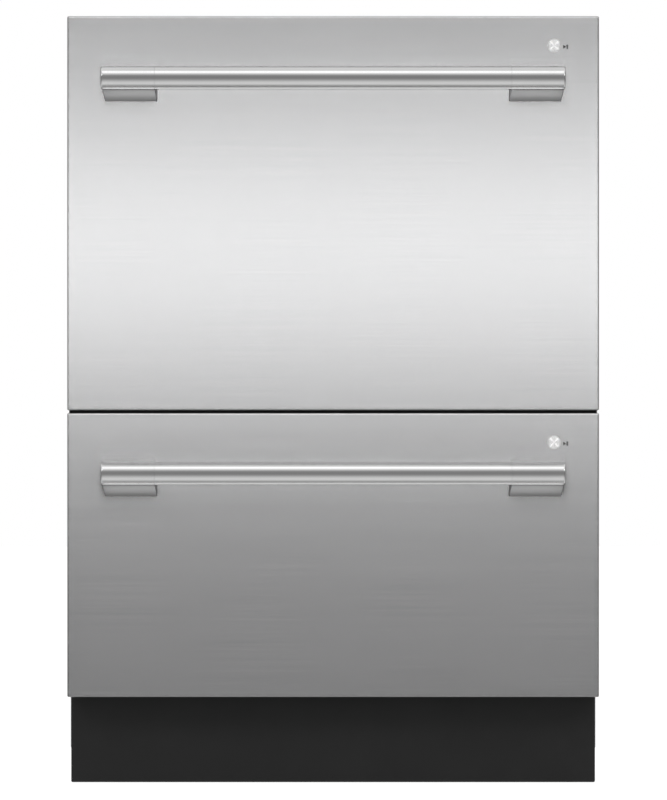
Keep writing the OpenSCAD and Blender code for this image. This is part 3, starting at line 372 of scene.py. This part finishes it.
FINISHES = {
    "brushed_steel": brushed_steel(),
    "polished_steel": polished_steel(),
    "satin_metal": satin_metal(),
    "spun_metal": spun_metal(),
    "galvanised_steel": galvanised_steel(),
    "slide_steel": slide_steel(),
    "dark_steel": dark_steel(),
    "black_trim": moulded_plastic("black_trim", tone(0.010), tone(0.020), 0.42),
    "black_glass": black_glass(),
    "tub_plastic": speckled_plastic(),
    "pale_plastic": moulded_plastic("pale_plastic", tone(0.66, 0.67, 0.68), tone(0.76, 0.77, 0.78), 0.34),
    "grey_plastic": moulded_plastic(
        "grey_plastic", tone(0.25, 0.265, 0.28), tone(0.33, 0.345, 0.36), 0.36),
    "dark_plastic": moulded_plastic(
        "dark_plastic", tone(0.050, 0.054, 0.060), tone(0.085, 0.090, 0.10), 0.38),
    "basket_plastic": moulded_plastic(
        "basket_plastic", tone(0.16, 0.17, 0.185), tone(0.22, 0.235, 0.25), 0.36),
    "rack_wire": wire_coating(),
    "foot_plastic": moulded_plastic("foot_plastic", tone(0.03), tone(0.05), 0.45),
    "rubber": moulded_plastic("rubber", tone(0.05), tone(0.08), 0.55, grain_size=0.3 * MM),
}


# Shapes

def box_shape(lo, hi):
    bm = bmesh.new()
    bmesh.ops.create_cube(bm, size=1.0)
    bmesh.ops.scale(bm, vec=hi - lo, verts=bm.verts)
    bmesh.ops.translate(bm, vec=(lo + hi) / 2, verts=bm.verts)
    return bm


def lies_at(part, axis, place):
    """Whether an edge or a face lies whole in the plane where one axis has this value"""
    return all(abs(v.co[axis] - place) < TINY for v in part.verts)


def runs_along(edge, axis):
    return abs((edge.verts[1].co - edge.verts[0].co).normalized()[axis]) > 0.999


def round_edges(bm, edges, radius, segments=6):
    bmesh.ops.bevel(
        bm, geom=edges, offset=radius, offset_type="OFFSET", affect="EDGES",
        segments=segments, profile=0.5, material=-1,
    )


def close_shell(bm):
    bmesh.ops.remove_doubles(bm, verts=bm.verts, dist=TINY / 10)
    bmesh.ops.recalc_face_normals(bm, faces=bm.faces)


def turned(profile, centre, axis, steps=96):
    """A profile of (along the axis, radius) points, spun a full turn round the axis"""
    side = axis.orthogonal().normalized()
    bm = bmesh.new()
    ring = [bm.verts.new(centre + axis * along + side * radius) for along, radius in profile]
    edges = [bm.edges.new(pair) for pair in zip(ring, ring[1:])]
    bmesh.ops.spin(
        bm, geom=ring + edges, cent=centre, axis=axis, dvec=(0, 0, 0),
        angle=2 * math.pi, steps=steps, use_merge=True,
    )
    close_shell(bm)
    return bm


def arc(centre, radius, start, end, steps):
    """Points of an arc in a profile, from one angle to another, in degrees"""
    turns = [math.radians(start + (end - start) * i / steps) for i in range(steps + 1)]
    return [(centre[0] + radius * math.cos(a), centre[1] + radius * math.sin(a)) for a in turns]


def thing(name, bm):
    mesh = bpy.data.meshes.new(name)
    bm.to_mesh(mesh)
    bm.free()
    made = bpy.data.objects.new(name, mesh)
    bpy.context.collection.objects.link(made)
    return made


def combined(bm, other, operation):
    """The union or the difference of two closed shapes"""
    base, tool = thing("base", bm), thing("tool", other)
    change = base.modifiers.new(operation, "BOOLEAN")
    change.operation = operation
    change.solver = "EXACT"
    change.object = tool
    result = bmesh.new()
    result.from_object(base, bpy.context.evaluated_depsgraph_get())
    for spare in (base, tool):
        bpy.data.objects.remove(spare)
    return result


def joined(bm, *others):
    """Several shapes in one mesh"""
    for other in others:
        passing = bpy.data.meshes.new("passing")
        other.to_mesh(passing)
        other.free()
        bm.from_mesh(passing)
        bpy.data.meshes.remove(passing)
    return bm


def node_shape(node):
    """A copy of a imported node's shape, its loose triangles merged into whole faces"""
    bm = bmesh.new()
    bm.from_mesh(frame["nodes"][node].data)
    bmesh.ops.remove_doubles(bm, verts=bm.verts, dist=TINY / 10)
    bmesh.ops.dissolve_limit(bm, angle_limit=math.radians(0.5), verts=bm.verts[:], edges=bm.edges[:])
    return bm


def dress(piece, body, slot, replaces=(), angle=30, eased=0.0):
    """Gives a piece its finish, eased edges and smooth shading, and sets it on its body"""
    piece.data.materials.clear()
    piece.data.materials.append(FINISHES[slot])
    piece.data.shade_smooth()
    piece.data.set_sharp_from_angle(angle=math.radians(angle))
    if eased:
        edges = piece.modifiers.new("eased_edges", "BEVEL")
        edges.width = eased
        edges.segments = 2
        edges.limit_method = "ANGLE"
        edges.angle_limit = math.radians(40)
    even = piece.modifiers.new("even_shading", "WEIGHTED_NORMAL")
    even.keep_sharp = True
    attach(piece, body)
    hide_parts(*replaces)
    return piece


# Fronts, plinth and handles

def folded_pan(lo, hi, radius, wall):
    """A sheet with its four sides folded back, open behind"""
    bm = box_shape(lo, hi)
    folds = [e for e in bm.edges if lies_at(e, 1, lo.y) or runs_along(e, 1)]
    round_edges(bm, folds, radius)
    rear = [f for f in bm.faces if lies_at(f, 1, hi.y)]
    bmesh.ops.delete(bm, geom=rear, context="FACES")
    bmesh.ops.solidify(bm, geom=bm.faces[:], thickness=wall)
    bmesh.ops.recalc_face_normals(bm, faces=bm.faces)
    return bm


def face_y(drawer):
    """The plane of a front's outer face"""
    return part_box(f"{drawer}_front_panel")[0].y


def front_skin(drawer):
    lo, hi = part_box(f"{drawer}_front_panel")
    button_lo, button_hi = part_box(f"{drawer}_start_button")
    centre = (button_lo + button_hi) / 2
    centre.y = lo.y
    depth = 4 * SKIN_T
    profile = [(-depth, 0), (-depth, BUTTON_HOLE_R), (depth, BUTTON_HOLE_R), (depth, 0)]
    hole = turned(profile, centre, Y, steps=64)
    pan = combined(folded_pan(lo, hi, EDGE_R, SKIN_T), hole, "DIFFERENCE")
    skin = thing(f"{drawer}_front_skin", pan)
    return dress(skin, f"{drawer}_drawer", "brushed_steel", [f"{drawer}_front_panel"])


def kick_board():
    lo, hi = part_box("toe_kick")
    pan = folded_pan(lo, hi, TOE_EDGE_R, TOE_SHEET)
    return dress(thing("kick_board", pan), "cabinet", "black_trim", ["toe_kick"])


def handle_tube(drawer):
    lo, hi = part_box(f"{drawer}_handle_bar")
    radius = (hi.z - lo.z) / 2
    half = hi.x
    profile = [
        (-half, radius - BAR_WALL), (-half, radius - SEAM_R), (-half + SEAM_R, radius),
        (half - SEAM_R, radius), (half, radius - SEAM_R), (half, radius - BAR_WALL),
        (-half, radius - BAR_WALL),
    ]
    tube = thing(f"{drawer}_handle_tube", turned(profile, (lo + hi) / 2, X, steps=128))
    return dress(tube, f"{drawer}_drawer", "polished_steel", [f"{drawer}_handle_bar"])


def bracket_sleeve(bar_centre, radius, start, end):
    """The sleeve that continues the bar, with a faintly domed end"""
    dome = 0.9 * MM
    corner = (end - SLEEVE_R - dome, radius - SLEEVE_R)
    profile = [(start, 0), (start, radius - SEAM_R), (start + SEAM_R, radius)]
    profile += arc(corner, SLEEVE_R, 90, 15, 6)
    profile += [(end - dome * t * t, (radius - SLEEVE_R) * t) for t in (0.95, 0.8, 0.6, 0.4, 0.2, 0)]
    return turned(profile, bar_centre, X, steps=128)


def bracket_arm(bar_centre, radius, start, end, door_y, fall):
    """The cast arm from the sleeve back to its foot on the front"""
    steps = 14
    lo = Vector((start, bar_centre.y, -radius))
    hi = Vector((end - SLEEVE_R, door_y, radius))
    bm = box_shape(lo, hi)
    long_edges = [e for e in bm.edges if runs_along(e, 1)]
    bmesh.ops.subdivide_edges(bm, edges=long_edges, cuts=steps, use_grid_fill=False)
    reach = door_y - bar_centre.y
    for v in bm.verts:
        t = (v.co.y - bar_centre.y) / reach
        ease = max(0.0, (t - 0.2) / 0.8)
        ease = ease * ease * (2 - ease)
        if v.co.x < (lo.x + hi.x) / 2:
            v.co.x = start - FOOT_WIDEN * ease
        else:
            v.co.x = hi.x + (end - FOOT_DRAW_IN - hi.x) * ease
        low = -radius * 0.9 - (fall - radius * 0.9) * ease
        high = radius * 0.9 + (FOOT_RISE - radius * 0.9) * ease
        v.co.z = bar_centre.z + (low if v.co.z < 0 else high)
    chains = [
        e for e in bm.edges
        if abs(e.verts[0].co.y - e.verts[1].co.y) > TINY and len(e.link_faces) == 2
        and e.link_faces[0].normal.angle(e.link_faces[1].normal) > 1.0
    ]
    round_edges(bm, chains, ARM_EDGE_R, segments=4)
    bmesh.ops.recalc_face_normals(bm, faces=bm.faces)
    return bm


def handle_ends(drawer):
    """Both cast brackets with their sleeves"""
    bar_lo, bar_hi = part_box(f"{drawer}_handle_bar")
    lo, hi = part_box(f"{drawer}_handle_brackets")
    door_y = face_y(drawer)
    centre = (bar_lo + bar_hi) / 2
    radius = (bar_hi.z - bar_lo.z) / 2
    start = bar_hi.x + SLEEVE_GAP
    arm = bracket_arm(centre, radius, start, hi.x, door_y, centre.z - lo.z)
    bracket = combined(bracket_sleeve(centre, radius, start, hi.x), arm, "UNION")
    bmesh.ops.mirror(bracket, geom=bracket.verts[:] + bracket.edges[:] + bracket.faces[:], axis="X",
                     matrix=Matrix.Identity(4), merge_dist=0)
    bmesh.ops.recalc_face_normals(bracket, faces=bracket.faces)
    ends = thing(f"{drawer}_handle_ends", bracket)
    blasted = ends.data.attributes.new("blasted", "FLOAT", "FACE")
    for face in ends.data.polygons:
        off = face.center - centre
        blasted.data[face.index].value = float(math.hypot(off.y, off.z) > radius)
    return dress(ends, f"{drawer}_drawer", "satin_metal", [f"{drawer}_handle_brackets"], angle=40)


def start_knob(drawer):
    """The button: a hollow face turned in fine grooves, a chamfer, the skirt, the collar and the stem"""
    lo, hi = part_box(f"{drawer}_start_button")
    door_y = face_y(drawer)
    radius = 7 * MM
    stem_r = 2.5 * MM
    collar_w = 1.5 * MM
    face_r = 6.5 * MM
    hollow = 0.25 * MM
    groove = 0.022 * MM
    grooves = 12
    centre = Vector(((lo.x + hi.x) / 2, lo.y, (lo.z + hi.z) / 2))
    collar = door_y - lo.y + SKIN_T + 0.3 * MM
    profile = []
    for i in range(4 * grooves + 1):
        share = i / (4 * grooves)
        wave = groove * math.sin(math.pi / 2 * i)
        profile.append((hollow * (1 - share ** 2) + groove + wave, face_r * share))
    profile += [
        (0, face_r + 0.1 * MM), (0.35 * MM, radius - 0.1 * MM), (0.6 * MM, radius),
        (collar, radius), (collar, radius + collar_w), (collar + collar_w, radius + collar_w),
        (collar + collar_w, stem_r), (hi.y - lo.y - 0.5 * MM, stem_r), (hi.y - lo.y, stem_r - 0.5 * MM),
        (hi.y - lo.y, 0),
    ]
    knob = thing(f"{drawer}_start_knob", turned(profile, centre, Y, steps=72))
    return dress(knob, f"{drawer}_start_button", "spun_metal", [f"{drawer}_start_button"], angle=40)


def play_pause_sign(drawer):
    """Printed play and pause signs beside the button"""
    lo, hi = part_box(f"{drawer}_start_button")
    door_y = face_y(drawer)
    left = (lo.x + hi.x) / 2 + 10.3 * MM
    middle = (lo.z + hi.z) / 2 - 1.4 * MM
    height = 4.7 * MM
    ink = 0.06 * MM
    triangle_w = 2.9 * MM
    bar_w = 0.92 * MM
    bar_gap = 0.2 * MM
    shapes = [[(left, -height / 2), (left + triangle_w, 0), (left, height / 2)]]
    first = left + triangle_w + 0.6 * MM
    for x in (first, first + bar_w + bar_gap):
        shapes.append([(x, -height / 2), (x + bar_w, -height / 2), (x + bar_w, height / 2), (x, height / 2)])
    bm = bmesh.new()
    for shape in shapes:
        bm.faces.new([bm.verts.new((x, door_y - ink, middle + z)) for x, z in shape])
    raised = bmesh.ops.extrude_face_region(bm, geom=bm.faces[:])
    moved = [v for v in raised["geom"] if isinstance(v, bmesh.types.BMVert)]
    bmesh.ops.translate(bm, vec=(0, ink * 1.5, 0), verts=moved)
    bmesh.ops.recalc_face_normals(bm, faces=bm.faces)
    sign = thing(f"{drawer}_play_pause_sign", bm)
    return dress(sign, f"{drawer}_drawer", "black_trim")


# Racks

def rounded_path(points, radius, closed=False):
    """The points of a bent wire: straight runs joined by arcs"""
    count = len(points)
    path = []
    for i, point in enumerate(points):
        if not closed and i in (0, count - 1):
            path.append(point)
            continue
        before = (points[i - 1] - point).normalized()
        after = (points[(i + 1) % count] - point).normalized()
        half = before.angle(after) / 2
        reach = radius / math.tan(half)
        middle = point + (before + after).normalized() * (radius / math.sin(half))
        first = (point + before * reach - middle).normalized()
        last = (point + after * reach - middle).normalized()
        path += [middle + first.slerp(last, k / BEND_STEPS) * radius for k in range(BEND_STEPS + 1)]
    return path


class Wires:
    """Bent wires that end up in one mesh"""

    def __init__(self, name):
        self.curve = bpy.data.curves.new(name, "CURVE")
        self.curve.dimensions = "3D"
        self.curve.bevel_depth = 1.0
        self.curve.bevel_resolution = 2
        self.curve.use_fill_caps = True

    def add(self, points, radius, closed=False, tip=False):
        """One wire, with a rounded tip at its last point if asked"""
        points = [Vector(p) for p in points]
        radii = [radius] * len(points)
        if tip:
            way = (points[-1] - points[-2]).normalized()
            end = points.pop()
            radii.pop()
            for back, share in ((1.0, 1.0), (0.6, 0.92), (0.25, 0.66), (0.05, 0.3)):
                points.append(end - way * back * radius)
                radii.append(radius * share)
        spline = self.curve.splines.new("POLY")
        spline.points.add(len(points) - 1)
        for node, place, size in zip(spline.points, points, radii):
            node.co = (*place, 1)
            node.radius = size
        spline.use_cyclic_u = closed
        spline.use_smooth = True

    def piece(self, name):
        holder = bpy.data.objects.new(name + "_curve", self.curve)
        bpy.context.collection.objects.link(holder)
        mesh = bpy.data.meshes.new_from_object(holder)
        bpy.data.objects.remove(holder)
        mesh.name = name
        made = bpy.data.objects.new(name, mesh)
        bpy.context.collection.objects.link(made)
        return made


class Rack:
    """Places of a rack's wires, from its box"""

    def __init__(self, drawer):
        self.lo, self.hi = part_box(f"{drawer}_rack")
        self.floor = self.lo.z
        self.runner_z = self.floor + RACK_RISE
        self.cross_z = self.runner_z + WIRE_STEP
        self.rim_z = self.hi.z - WIRE_R
        self.side_x = self.hi.x - WIRE_R
        self.belt_x = self.side_x - WIRE_STEP
        self.first_y = self.lo.y + WIRE_R
        self.last_y = self.hi.y - WIRE_R
        self.stand_z = self.cross_z + WIRE_R + WELD_GAP
        self.runner_pitch = 2 * (self.hi.x - RUNNER_IN) / (RUNNERS - 1)
        self.cross_pitch = (self.hi.y - self.lo.y - 2 * CROSS_IN) / (CROSS_WIRES - 1)

    def cross_y(self, i):
        return self.lo.y + CROSS_IN + i * self.cross_pitch

    def runner_x(self, i):
        return -(self.hi.x - RUNNER_IN) + i * self.runner_pitch

    def tine_x(self, i):
        return self.runner_x(COMB_RUNNERS[0]) + TINE_PITCH * (i + 0.5)


def loop_points(x, y0, y1, z):
    return [Vector((-x, y0, z)), Vector((x, y0, z)), Vector((x, y1, z)), Vector((-x, y1, z))]


def wire_rack(drawer):
    rack = Rack(drawer)
    shelf_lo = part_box(f"{drawer}_cup_shelf")[0]
    belt_z = shelf_lo.z + WIRE_R + 2 * MM
    wires = Wires(f"{drawer}_wires")
    for i in range(CROSS_WIRES):
        y = rack.cross_y(i)
        corners = [(-rack.side_x, y, rack.rim_z), (-rack.side_x, y, rack.cross_z),
                   (rack.side_x, y, rack.cross_z), (rack.side_x, y, rack.rim_z)]
        wires.add(rounded_path([Vector(c) for c in corners], BEND_R), WIRE_R)
    for i in range(RUNNERS):
        x = rack.runner_x(i)
        corners = [(x, rack.first_y, rack.rim_z), (x, rack.first_y, rack.runner_z),
                   (x, rack.last_y, rack.runner_z), (x, rack.last_y, rack.rim_z)]
        wires.add(rounded_path([Vector(c) for c in corners], BEND_R), WIRE_R)
    rim = loop_points(rack.side_x, rack.first_y, rack.last_y, rack.rim_z)
    wires.add(rounded_path(rim, 2 * BEND_R, closed=True), WIRE_R, closed=True)
    belt = loop_points(rack.belt_x, rack.first_y + WIRE_STEP, rack.last_y - WIRE_STEP, belt_z)
    wires.add(rounded_path(belt, 2 * BEND_R - WIRE_STEP, closed=True), WIRE_R, closed=True)
    for row in TINE_ROWS:
        y = rack.cross_y(row)
        for i in range(TINES):
            x = rack.tine_x(i)
            wires.add([(x, y, rack.cross_z), (x, y, rack.stand_z + TINE_H)], TINE_R, tip=True)
    piece = wires.piece(f"{drawer}_wire_rack")
    bm = bmesh.new()
    bm.from_mesh(piece.data)
    joined(bm, *rack_feet(rack), *comb_clips(rack, drawer)).to_mesh(piece.data)
    bm.free()
    return dress(piece, f"{drawer}_drawer", "rack_wire", [f"{drawer}_rack"], angle=50)


def rack_feet(rack):
    """The four moulded feet under the outer runners"""
    rise = rack.runner_z - WIRE_R - WELD_GAP - rack.floor
    profile = [(0, 0), (0, RACK_FOOT_R - 1 * MM), (1 * MM, RACK_FOOT_R), (rise - 2 * MM, RACK_FOOT_R),
               (rise, RACK_FOOT_R - 1.5 * MM), (rise, 0)]
    return [
        turned(profile, Vector((rack.runner_x(i), y, rack.floor)), Z, steps=32)
        for i in (0, RUNNERS - 1) for y in (rack.lo.y + CROSS_IN, rack.hi.y - CROSS_IN)
    ]


def comb_clips(rack, drawer):
    """The clips on two runners that the folding comb's rod turns in"""
    lo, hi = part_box(f"{drawer}_fold_tines")
    y, z = (lo.y + hi.y) / 2, lo.z + COMB_R
    clips = []
    for i in COMB_RUNNERS:
        x = rack.runner_x(i)
        clip = box_shape(Vector((x - CLIP_W / 2, y - CLIP_D / 2, rack.runner_z + WIRE_R + WELD_GAP)),
                         Vector((x + CLIP_W / 2, y + CLIP_D / 2, z + COMB_R + 2.5 * MM)))
        round_edges(clip, clip.edges[:], 1 * MM, segments=3)
        bore = [(-CLIP_W, 0), (-CLIP_W, COMB_R + 0.1 * MM), (CLIP_W, COMB_R + 0.1 * MM), (CLIP_W, 0)]
        clips.append(combined(clip, turned(bore, Vector((x, y, z)), X, steps=48), "DIFFERENCE"))
    return clips


def folding_comb(drawer):
    rack = Rack(drawer)
    lo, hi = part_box(f"{drawer}_fold_tines")
    y = (lo.y + hi.y) / 2
    z = lo.z + COMB_R
    wires = Wires(f"{drawer}_comb")
    wires.add([(lo.x, y, z), (hi.x, y, z)], COMB_R)
    for i in range(TINES):
        wires.add([(rack.tine_x(i), y, z), (rack.tine_x(i), y, hi.z)], TINE_R, tip=True)
    piece = wires.piece(f"{drawer}_folding_comb")
    return dress(piece, f"{drawer}_fold_tines", "rack_wire", [f"{drawer}_fold_tines"], angle=50)


# Wash system, feet and mouldings

def spray_arm(drawer):
    """The arm with a raised rim round every nozzle"""
    node = f"{drawer}_spray_arm"
    lo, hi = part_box(node)
    middle = (lo + hi) / 2
    first = ARM_HUB_R + 14 * MM
    pitch = (ARM_R - first - 26 * MM) / (NOZZLES - 1)
    top = lo.z + ARM_TOP
    rims = []
    for side in (-1, 1):
        for i in range(NOZZLES):
            place = Vector((side * (first + i * pitch), middle.y + side * (i % 2 * 8 - 4) * MM, top))
            profile = [(-1 * MM, NOZZLE_R), (0.5 * MM, NOZZLE_R), (0.9 * MM, NOZZLE_R + 0.5 * MM),
                       (0.7 * MM, NOZZLE_R + 1.2 * MM), (-1 * MM, NOZZLE_R + 2 * MM), (-1 * MM, NOZZLE_R)]
            rims.append(turned(profile, place, Z, steps=32))
    arm = thing(f"{drawer}_wash_arm", joined(node_shape(node), *rims))
    return dress(arm, node, "grey_plastic", [node], angle=35)


def levelling_foot(corner):
    """Pad with a rounded rim, hexagon for the spanner and threaded stud"""
    node = f"{corner}_foot"
    lo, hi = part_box(node)
    centre = Vector(((lo.x + hi.x) / 2, (lo.y + hi.y) / 2, lo.z))
    pad_r = (hi.x - lo.x) / 2
    stud_r = 5 * MM
    hex_r = 10 * MM
    pad = [(0, 0), (0, pad_r - 1 * MM), (0.4 * MM, pad_r - 0.3 * MM), (1 * MM, pad_r), (2.4 * MM, pad_r),
           (3 * MM, pad_r - 0.6 * MM), (8 * MM, hex_r), (8 * MM, 0)]
    hexagon = [(8 * MM, 0), (8 * MM, hex_r), (14.4 * MM, hex_r), (15 * MM, hex_r - 0.6 * MM), (15 * MM, 0)]
    stud = [(14.5 * MM, 0)]
    turns = int((hi.z - lo.z - 17 * MM) / THREAD_PITCH)
    for i in range(turns + 1):
        along = 15.5 * MM + i * THREAD_PITCH
        stud += [(along, stud_r - THREAD_DEPTH), (along + THREAD_PITCH / 2, stud_r)]
    stud += [(hi.z - lo.z, stud_r - THREAD_DEPTH), (hi.z - lo.z, 0)]
    turns_of = ((pad, 64), (hexagon, 6), (stud, 32))
    shapes = [turned(profile, centre, Z, steps) for profile, steps in turns_of]
    foot = thing(f"{corner}_levelling_foot", joined(*shapes))
    return dress(foot, node, "foot_plastic", [node], angle=25)


def nodes_called(name):
    """The node of this name, or else the one in each drawer"""
    return [name] if name in BODY_OF else [f"{drawer}_{name}" for drawer in DRAWERS]


def moulding(node, eased):
    """The node's own shape, with whole faces, smooth curves and eased edges"""
    piece = thing(f"{node}_moulding", node_shape(node))
    return dress(piece, BODY_OF[node], SLOT_OF[node], [node], angle=35, eased=eased)


# Scene

def studio_world():
    """White to the camera. Metal sees a dim horizon in front, a bright band overhead, a grey floor
    and an even grey behind."""
    world = bpy.data.worlds.new("studio")
    bpy.context.scene.world = world
    finish = Finish(world)
    direction = finish.node("ShaderNodeTexCoord", output="Generated")
    right, back, up = (
        finish.node("ShaderNodeSeparateXYZ", {}, {"Vector": direction}, output=axis) for axis in "XYZ"
    )
    bands = (
        (-90, 0.30), (-84, 0.34), (-72, 0.62), (-60, 0.72), (-49, 0.69), (-38, 0.60), (-28, 0.46),
        (-18, 0.335), (-8, 0.25), (2, 0.222), (12, 0.235), (22, 0.28), (32, 0.47), (42, 0.77),
        (52, 1.12), (58, 1.30), (66, 1.30), (73, 0.85), (80, 0.72), (90, 0.68),
    )
    reach = 2.0
    stops = [(math.sin(math.radians(a)) / 2 + 0.5, level / reach) for a, level in bands]
    ahead = finish.node("ShaderNodeValToRGB", {"stops": stops}, {"Fac": up * 0.5 + 0.5})
    aside = finish.node("ShaderNodeMath", {"operation": "ABSOLUTE"}, {0: right}).smooth(0.3, 0.8)
    ahead = finish.mix(aside * 0.7, ahead, tone(0.0))
    seen = finish.mix(back.smooth(-0.02, 0.2), ahead, tone(0.75 / reach))
    rays = {name: finish.node("ShaderNodeLightPath", output=name)
            for name in ("Is Camera Ray", "Is Diffuse Ray")}
    glossy = finish.node("ShaderNodeBackground", {}, {"Color": seen, "Strength": reach})
    soft = finish.node("ShaderNodeBackground", {}, {"Color": tone(1), "Strength": 0.62})
    white = finish.node("ShaderNodeBackground", {}, {"Color": tone(1), "Strength": 1.0})
    lit = finish.node("ShaderNodeMixShader", {}, {0: rays["Is Diffuse Ray"], 1: glossy, 2: soft})
    shown = finish.node("ShaderNodeMixShader", {}, {0: rays["Is Camera Ray"], 1: lit, 2: white})
    finish.node_output(shown, "ShaderNodeOutputWorld")


def studio_floor():
    """A white floor that stays white to the camera but for the shadow on it"""
    bm = bmesh.new()
    bmesh.ops.create_grid(bm, x_segments=1, y_segments=1, size=40)
    floor = thing("floor", bm)
    finish = new_finish("white_floor")
    paper = finish.node("ShaderNodeBsdfDiffuse", {}, {"Color": tone(0.92)})
    glow = finish.node("ShaderNodeEmission", {}, {"Color": tone(1), "Strength": 1.3})
    camera_ray = finish.node("ShaderNodeLightPath", output="Is Camera Ray")
    finish.node_output(finish.node("ShaderNodeMixShader", {}, {0: camera_ray * 0.7, 1: paper, 2: glow}))
    floor.data.materials.append(finish.owner)
    floor.visible_glossy = False


def middle_of(node):
    lo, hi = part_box(node)
    return (lo + hi) / 2


def area_lamp(name, place, target, size, watts):
    data = bpy.data.lights.new(name, "AREA")
    data.shape = "RECTANGLE"
    data.size, data.size_y = size
    data.energy = watts
    lamp = bpy.data.objects.new(name, data)
    lamp.location = place
    lamp.rotation_mode = "QUATERNION"
    lamp.rotation_quaternion = (Vector(target) - Vector(place)).to_track_quat("-Z", "Y")
    lamp.visible_camera = False
    bpy.context.collection.objects.link(lamp)
    return lamp


def light_only(lamp, pieces, shadows_of=None):
    """Keeps a lamp to some pieces, and lets only the given ones throw its shadows"""
    lit = bpy.data.collections.new(lamp.name + "_on")
    for piece in pieces:
        lit.objects.link(piece)
    lamp.light_linking.receiver_collection = lit
    if shadows_of is not None:
        shading = bpy.data.collections.new(lamp.name + "_shadows")
        for piece in shadows_of:
            shading.objects.link(piece)
        lamp.light_linking.blocker_collection = shading


def studio_lamps(skins, ends, tubes, knobs, inner):
    """For the fronts two bands straight ahead, one higher up and a far sky that throws the brackets'
    shadows; low cards for the undersides of bars and brackets, a card and crossed strips for each
    button, one lamp over the inner pieces, and two soft lamps for everything"""
    front_y = face_y("upper")
    for name, z, width, watts, shading in (
        ("front_band", 0.615, 1.4, 2.5, ends[:1]), ("wide_band", 0.615, 5, 4.2, ends[:1]),
        ("top_band", 1.27, 1.4, 0.6, ends),
    ):
        band = area_lamp(name, (0, front_y - BAND_AWAY, z), (0, front_y, z), (width, 0.2), watts)
        light_only(band, skins, skins + shading)
    rise = math.radians(SKY_RISE)
    place = (0, front_y - SKY_AWAY * math.cos(rise), SKY_AIM_Z + SKY_AWAY * math.sin(rise))
    sky = area_lamp("far_sky", place, (0, front_y, SKY_AIM_Z), (5, 4.2), 290)
    light_only(sky, skins, skins + ends)
    for drawer, tube, end, knob in zip(DRAWERS, tubes, ends, knobs):
        low = middle_of(f"{drawer}_handle_bar")
        low.y = front_y - 1.5 * MM
        low.z -= 75 * MM
        card = area_lamp(f"{drawer}_low_card", low, low - Y, (0.52, 0.052), 0.09)
        light_only(card, [tube, end], [tube])
        face = middle_of(f"{drawer}_start_button")
        place = face - Y * 1.2
        light_only(area_lamp(f"{knob.name}_card", place - Y * 0.1, face, (0.9, 0.9), 0.9), [knob])
        for turn in (-1, 1):
            strip = area_lamp(f"{knob.name}_strip_{turn}", place, face, (1.2, 0.07), 0.24)
            strip.rotation_quaternion @= Quaternion((0, 0, 1), turn * math.pi / 4)
            light_only(strip, [knob])
    light_only(area_lamp("over_tubs", (0, -0.7, 2.6), (0, -0.4, 0.6), (1.6, 1.6), 22), inner)
    for side in (-1, 1):
        area_lamp(f"key_{side}", (side * 2.4, -2.6, 2.4), (0, 0, 0.4), (1.2, 1.2), 18)


def photo_camera():
    """Straight on to the fronts, from far away, as in the photograph"""
    data = bpy.data.cameras.new("camera")
    data.lens = LENS
    data.sensor_width = SENSOR
    data.clip_start, data.clip_end = 0.1, 100
    camera = bpy.data.objects.new("camera", data)
    away = PHOTO_H * PIXEL * LENS / SENSOR
    centre_x = (PHOTO_MIDDLE[0] - FRONT_MIDDLE_X) * PIXEL
    centre_z = (FLOOR_LINE - PHOTO_MIDDLE[1]) * PIXEL
    camera.location = (centre_x, face_y("upper") - away, centre_z)
    camera.rotation_euler = (math.pi / 2, 0, 0)
    bpy.context.collection.objects.link(camera)
    bpy.context.scene.camera = camera


def finish_kept_nodes():
    """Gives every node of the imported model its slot's material"""
    for part in frame["record"]["subparts"]:
        node = frame["nodes"][part["node"]]
        node.data.materials.clear()
        node.data.materials.append(FINISHES[part["material_slot"]])


photo_camera()
finish_kept_nodes()
skins = [front_skin(drawer) for drawer in DRAWERS]
knobs = [start_knob(drawer) for drawer in DRAWERS]
kick_board()
tubes = [handle_tube(drawer) for drawer in DRAWERS]
ends = [handle_ends(drawer) for drawer in DRAWERS]
inner = []
for drawer in DRAWERS:
    play_pause_sign(drawer)
    inner += [wire_rack(drawer), folding_comb(drawer), spray_arm(drawer)]
for corner in ("front_left", "front_right", "rear_left", "rear_right"):
    levelling_foot(corner)
for name, eased in EASED.items():
    for node in nodes_called(name):
        piece = moulding(node, eased * MM)
        if BODY_OF[node] != "cabinet":
            inner.append(piece)
studio_world()
studio_floor()
studio_lamps(skins, ends, tubes, knobs, inner)
bpy.context.scene.view_settings.view_transform = "Standard"
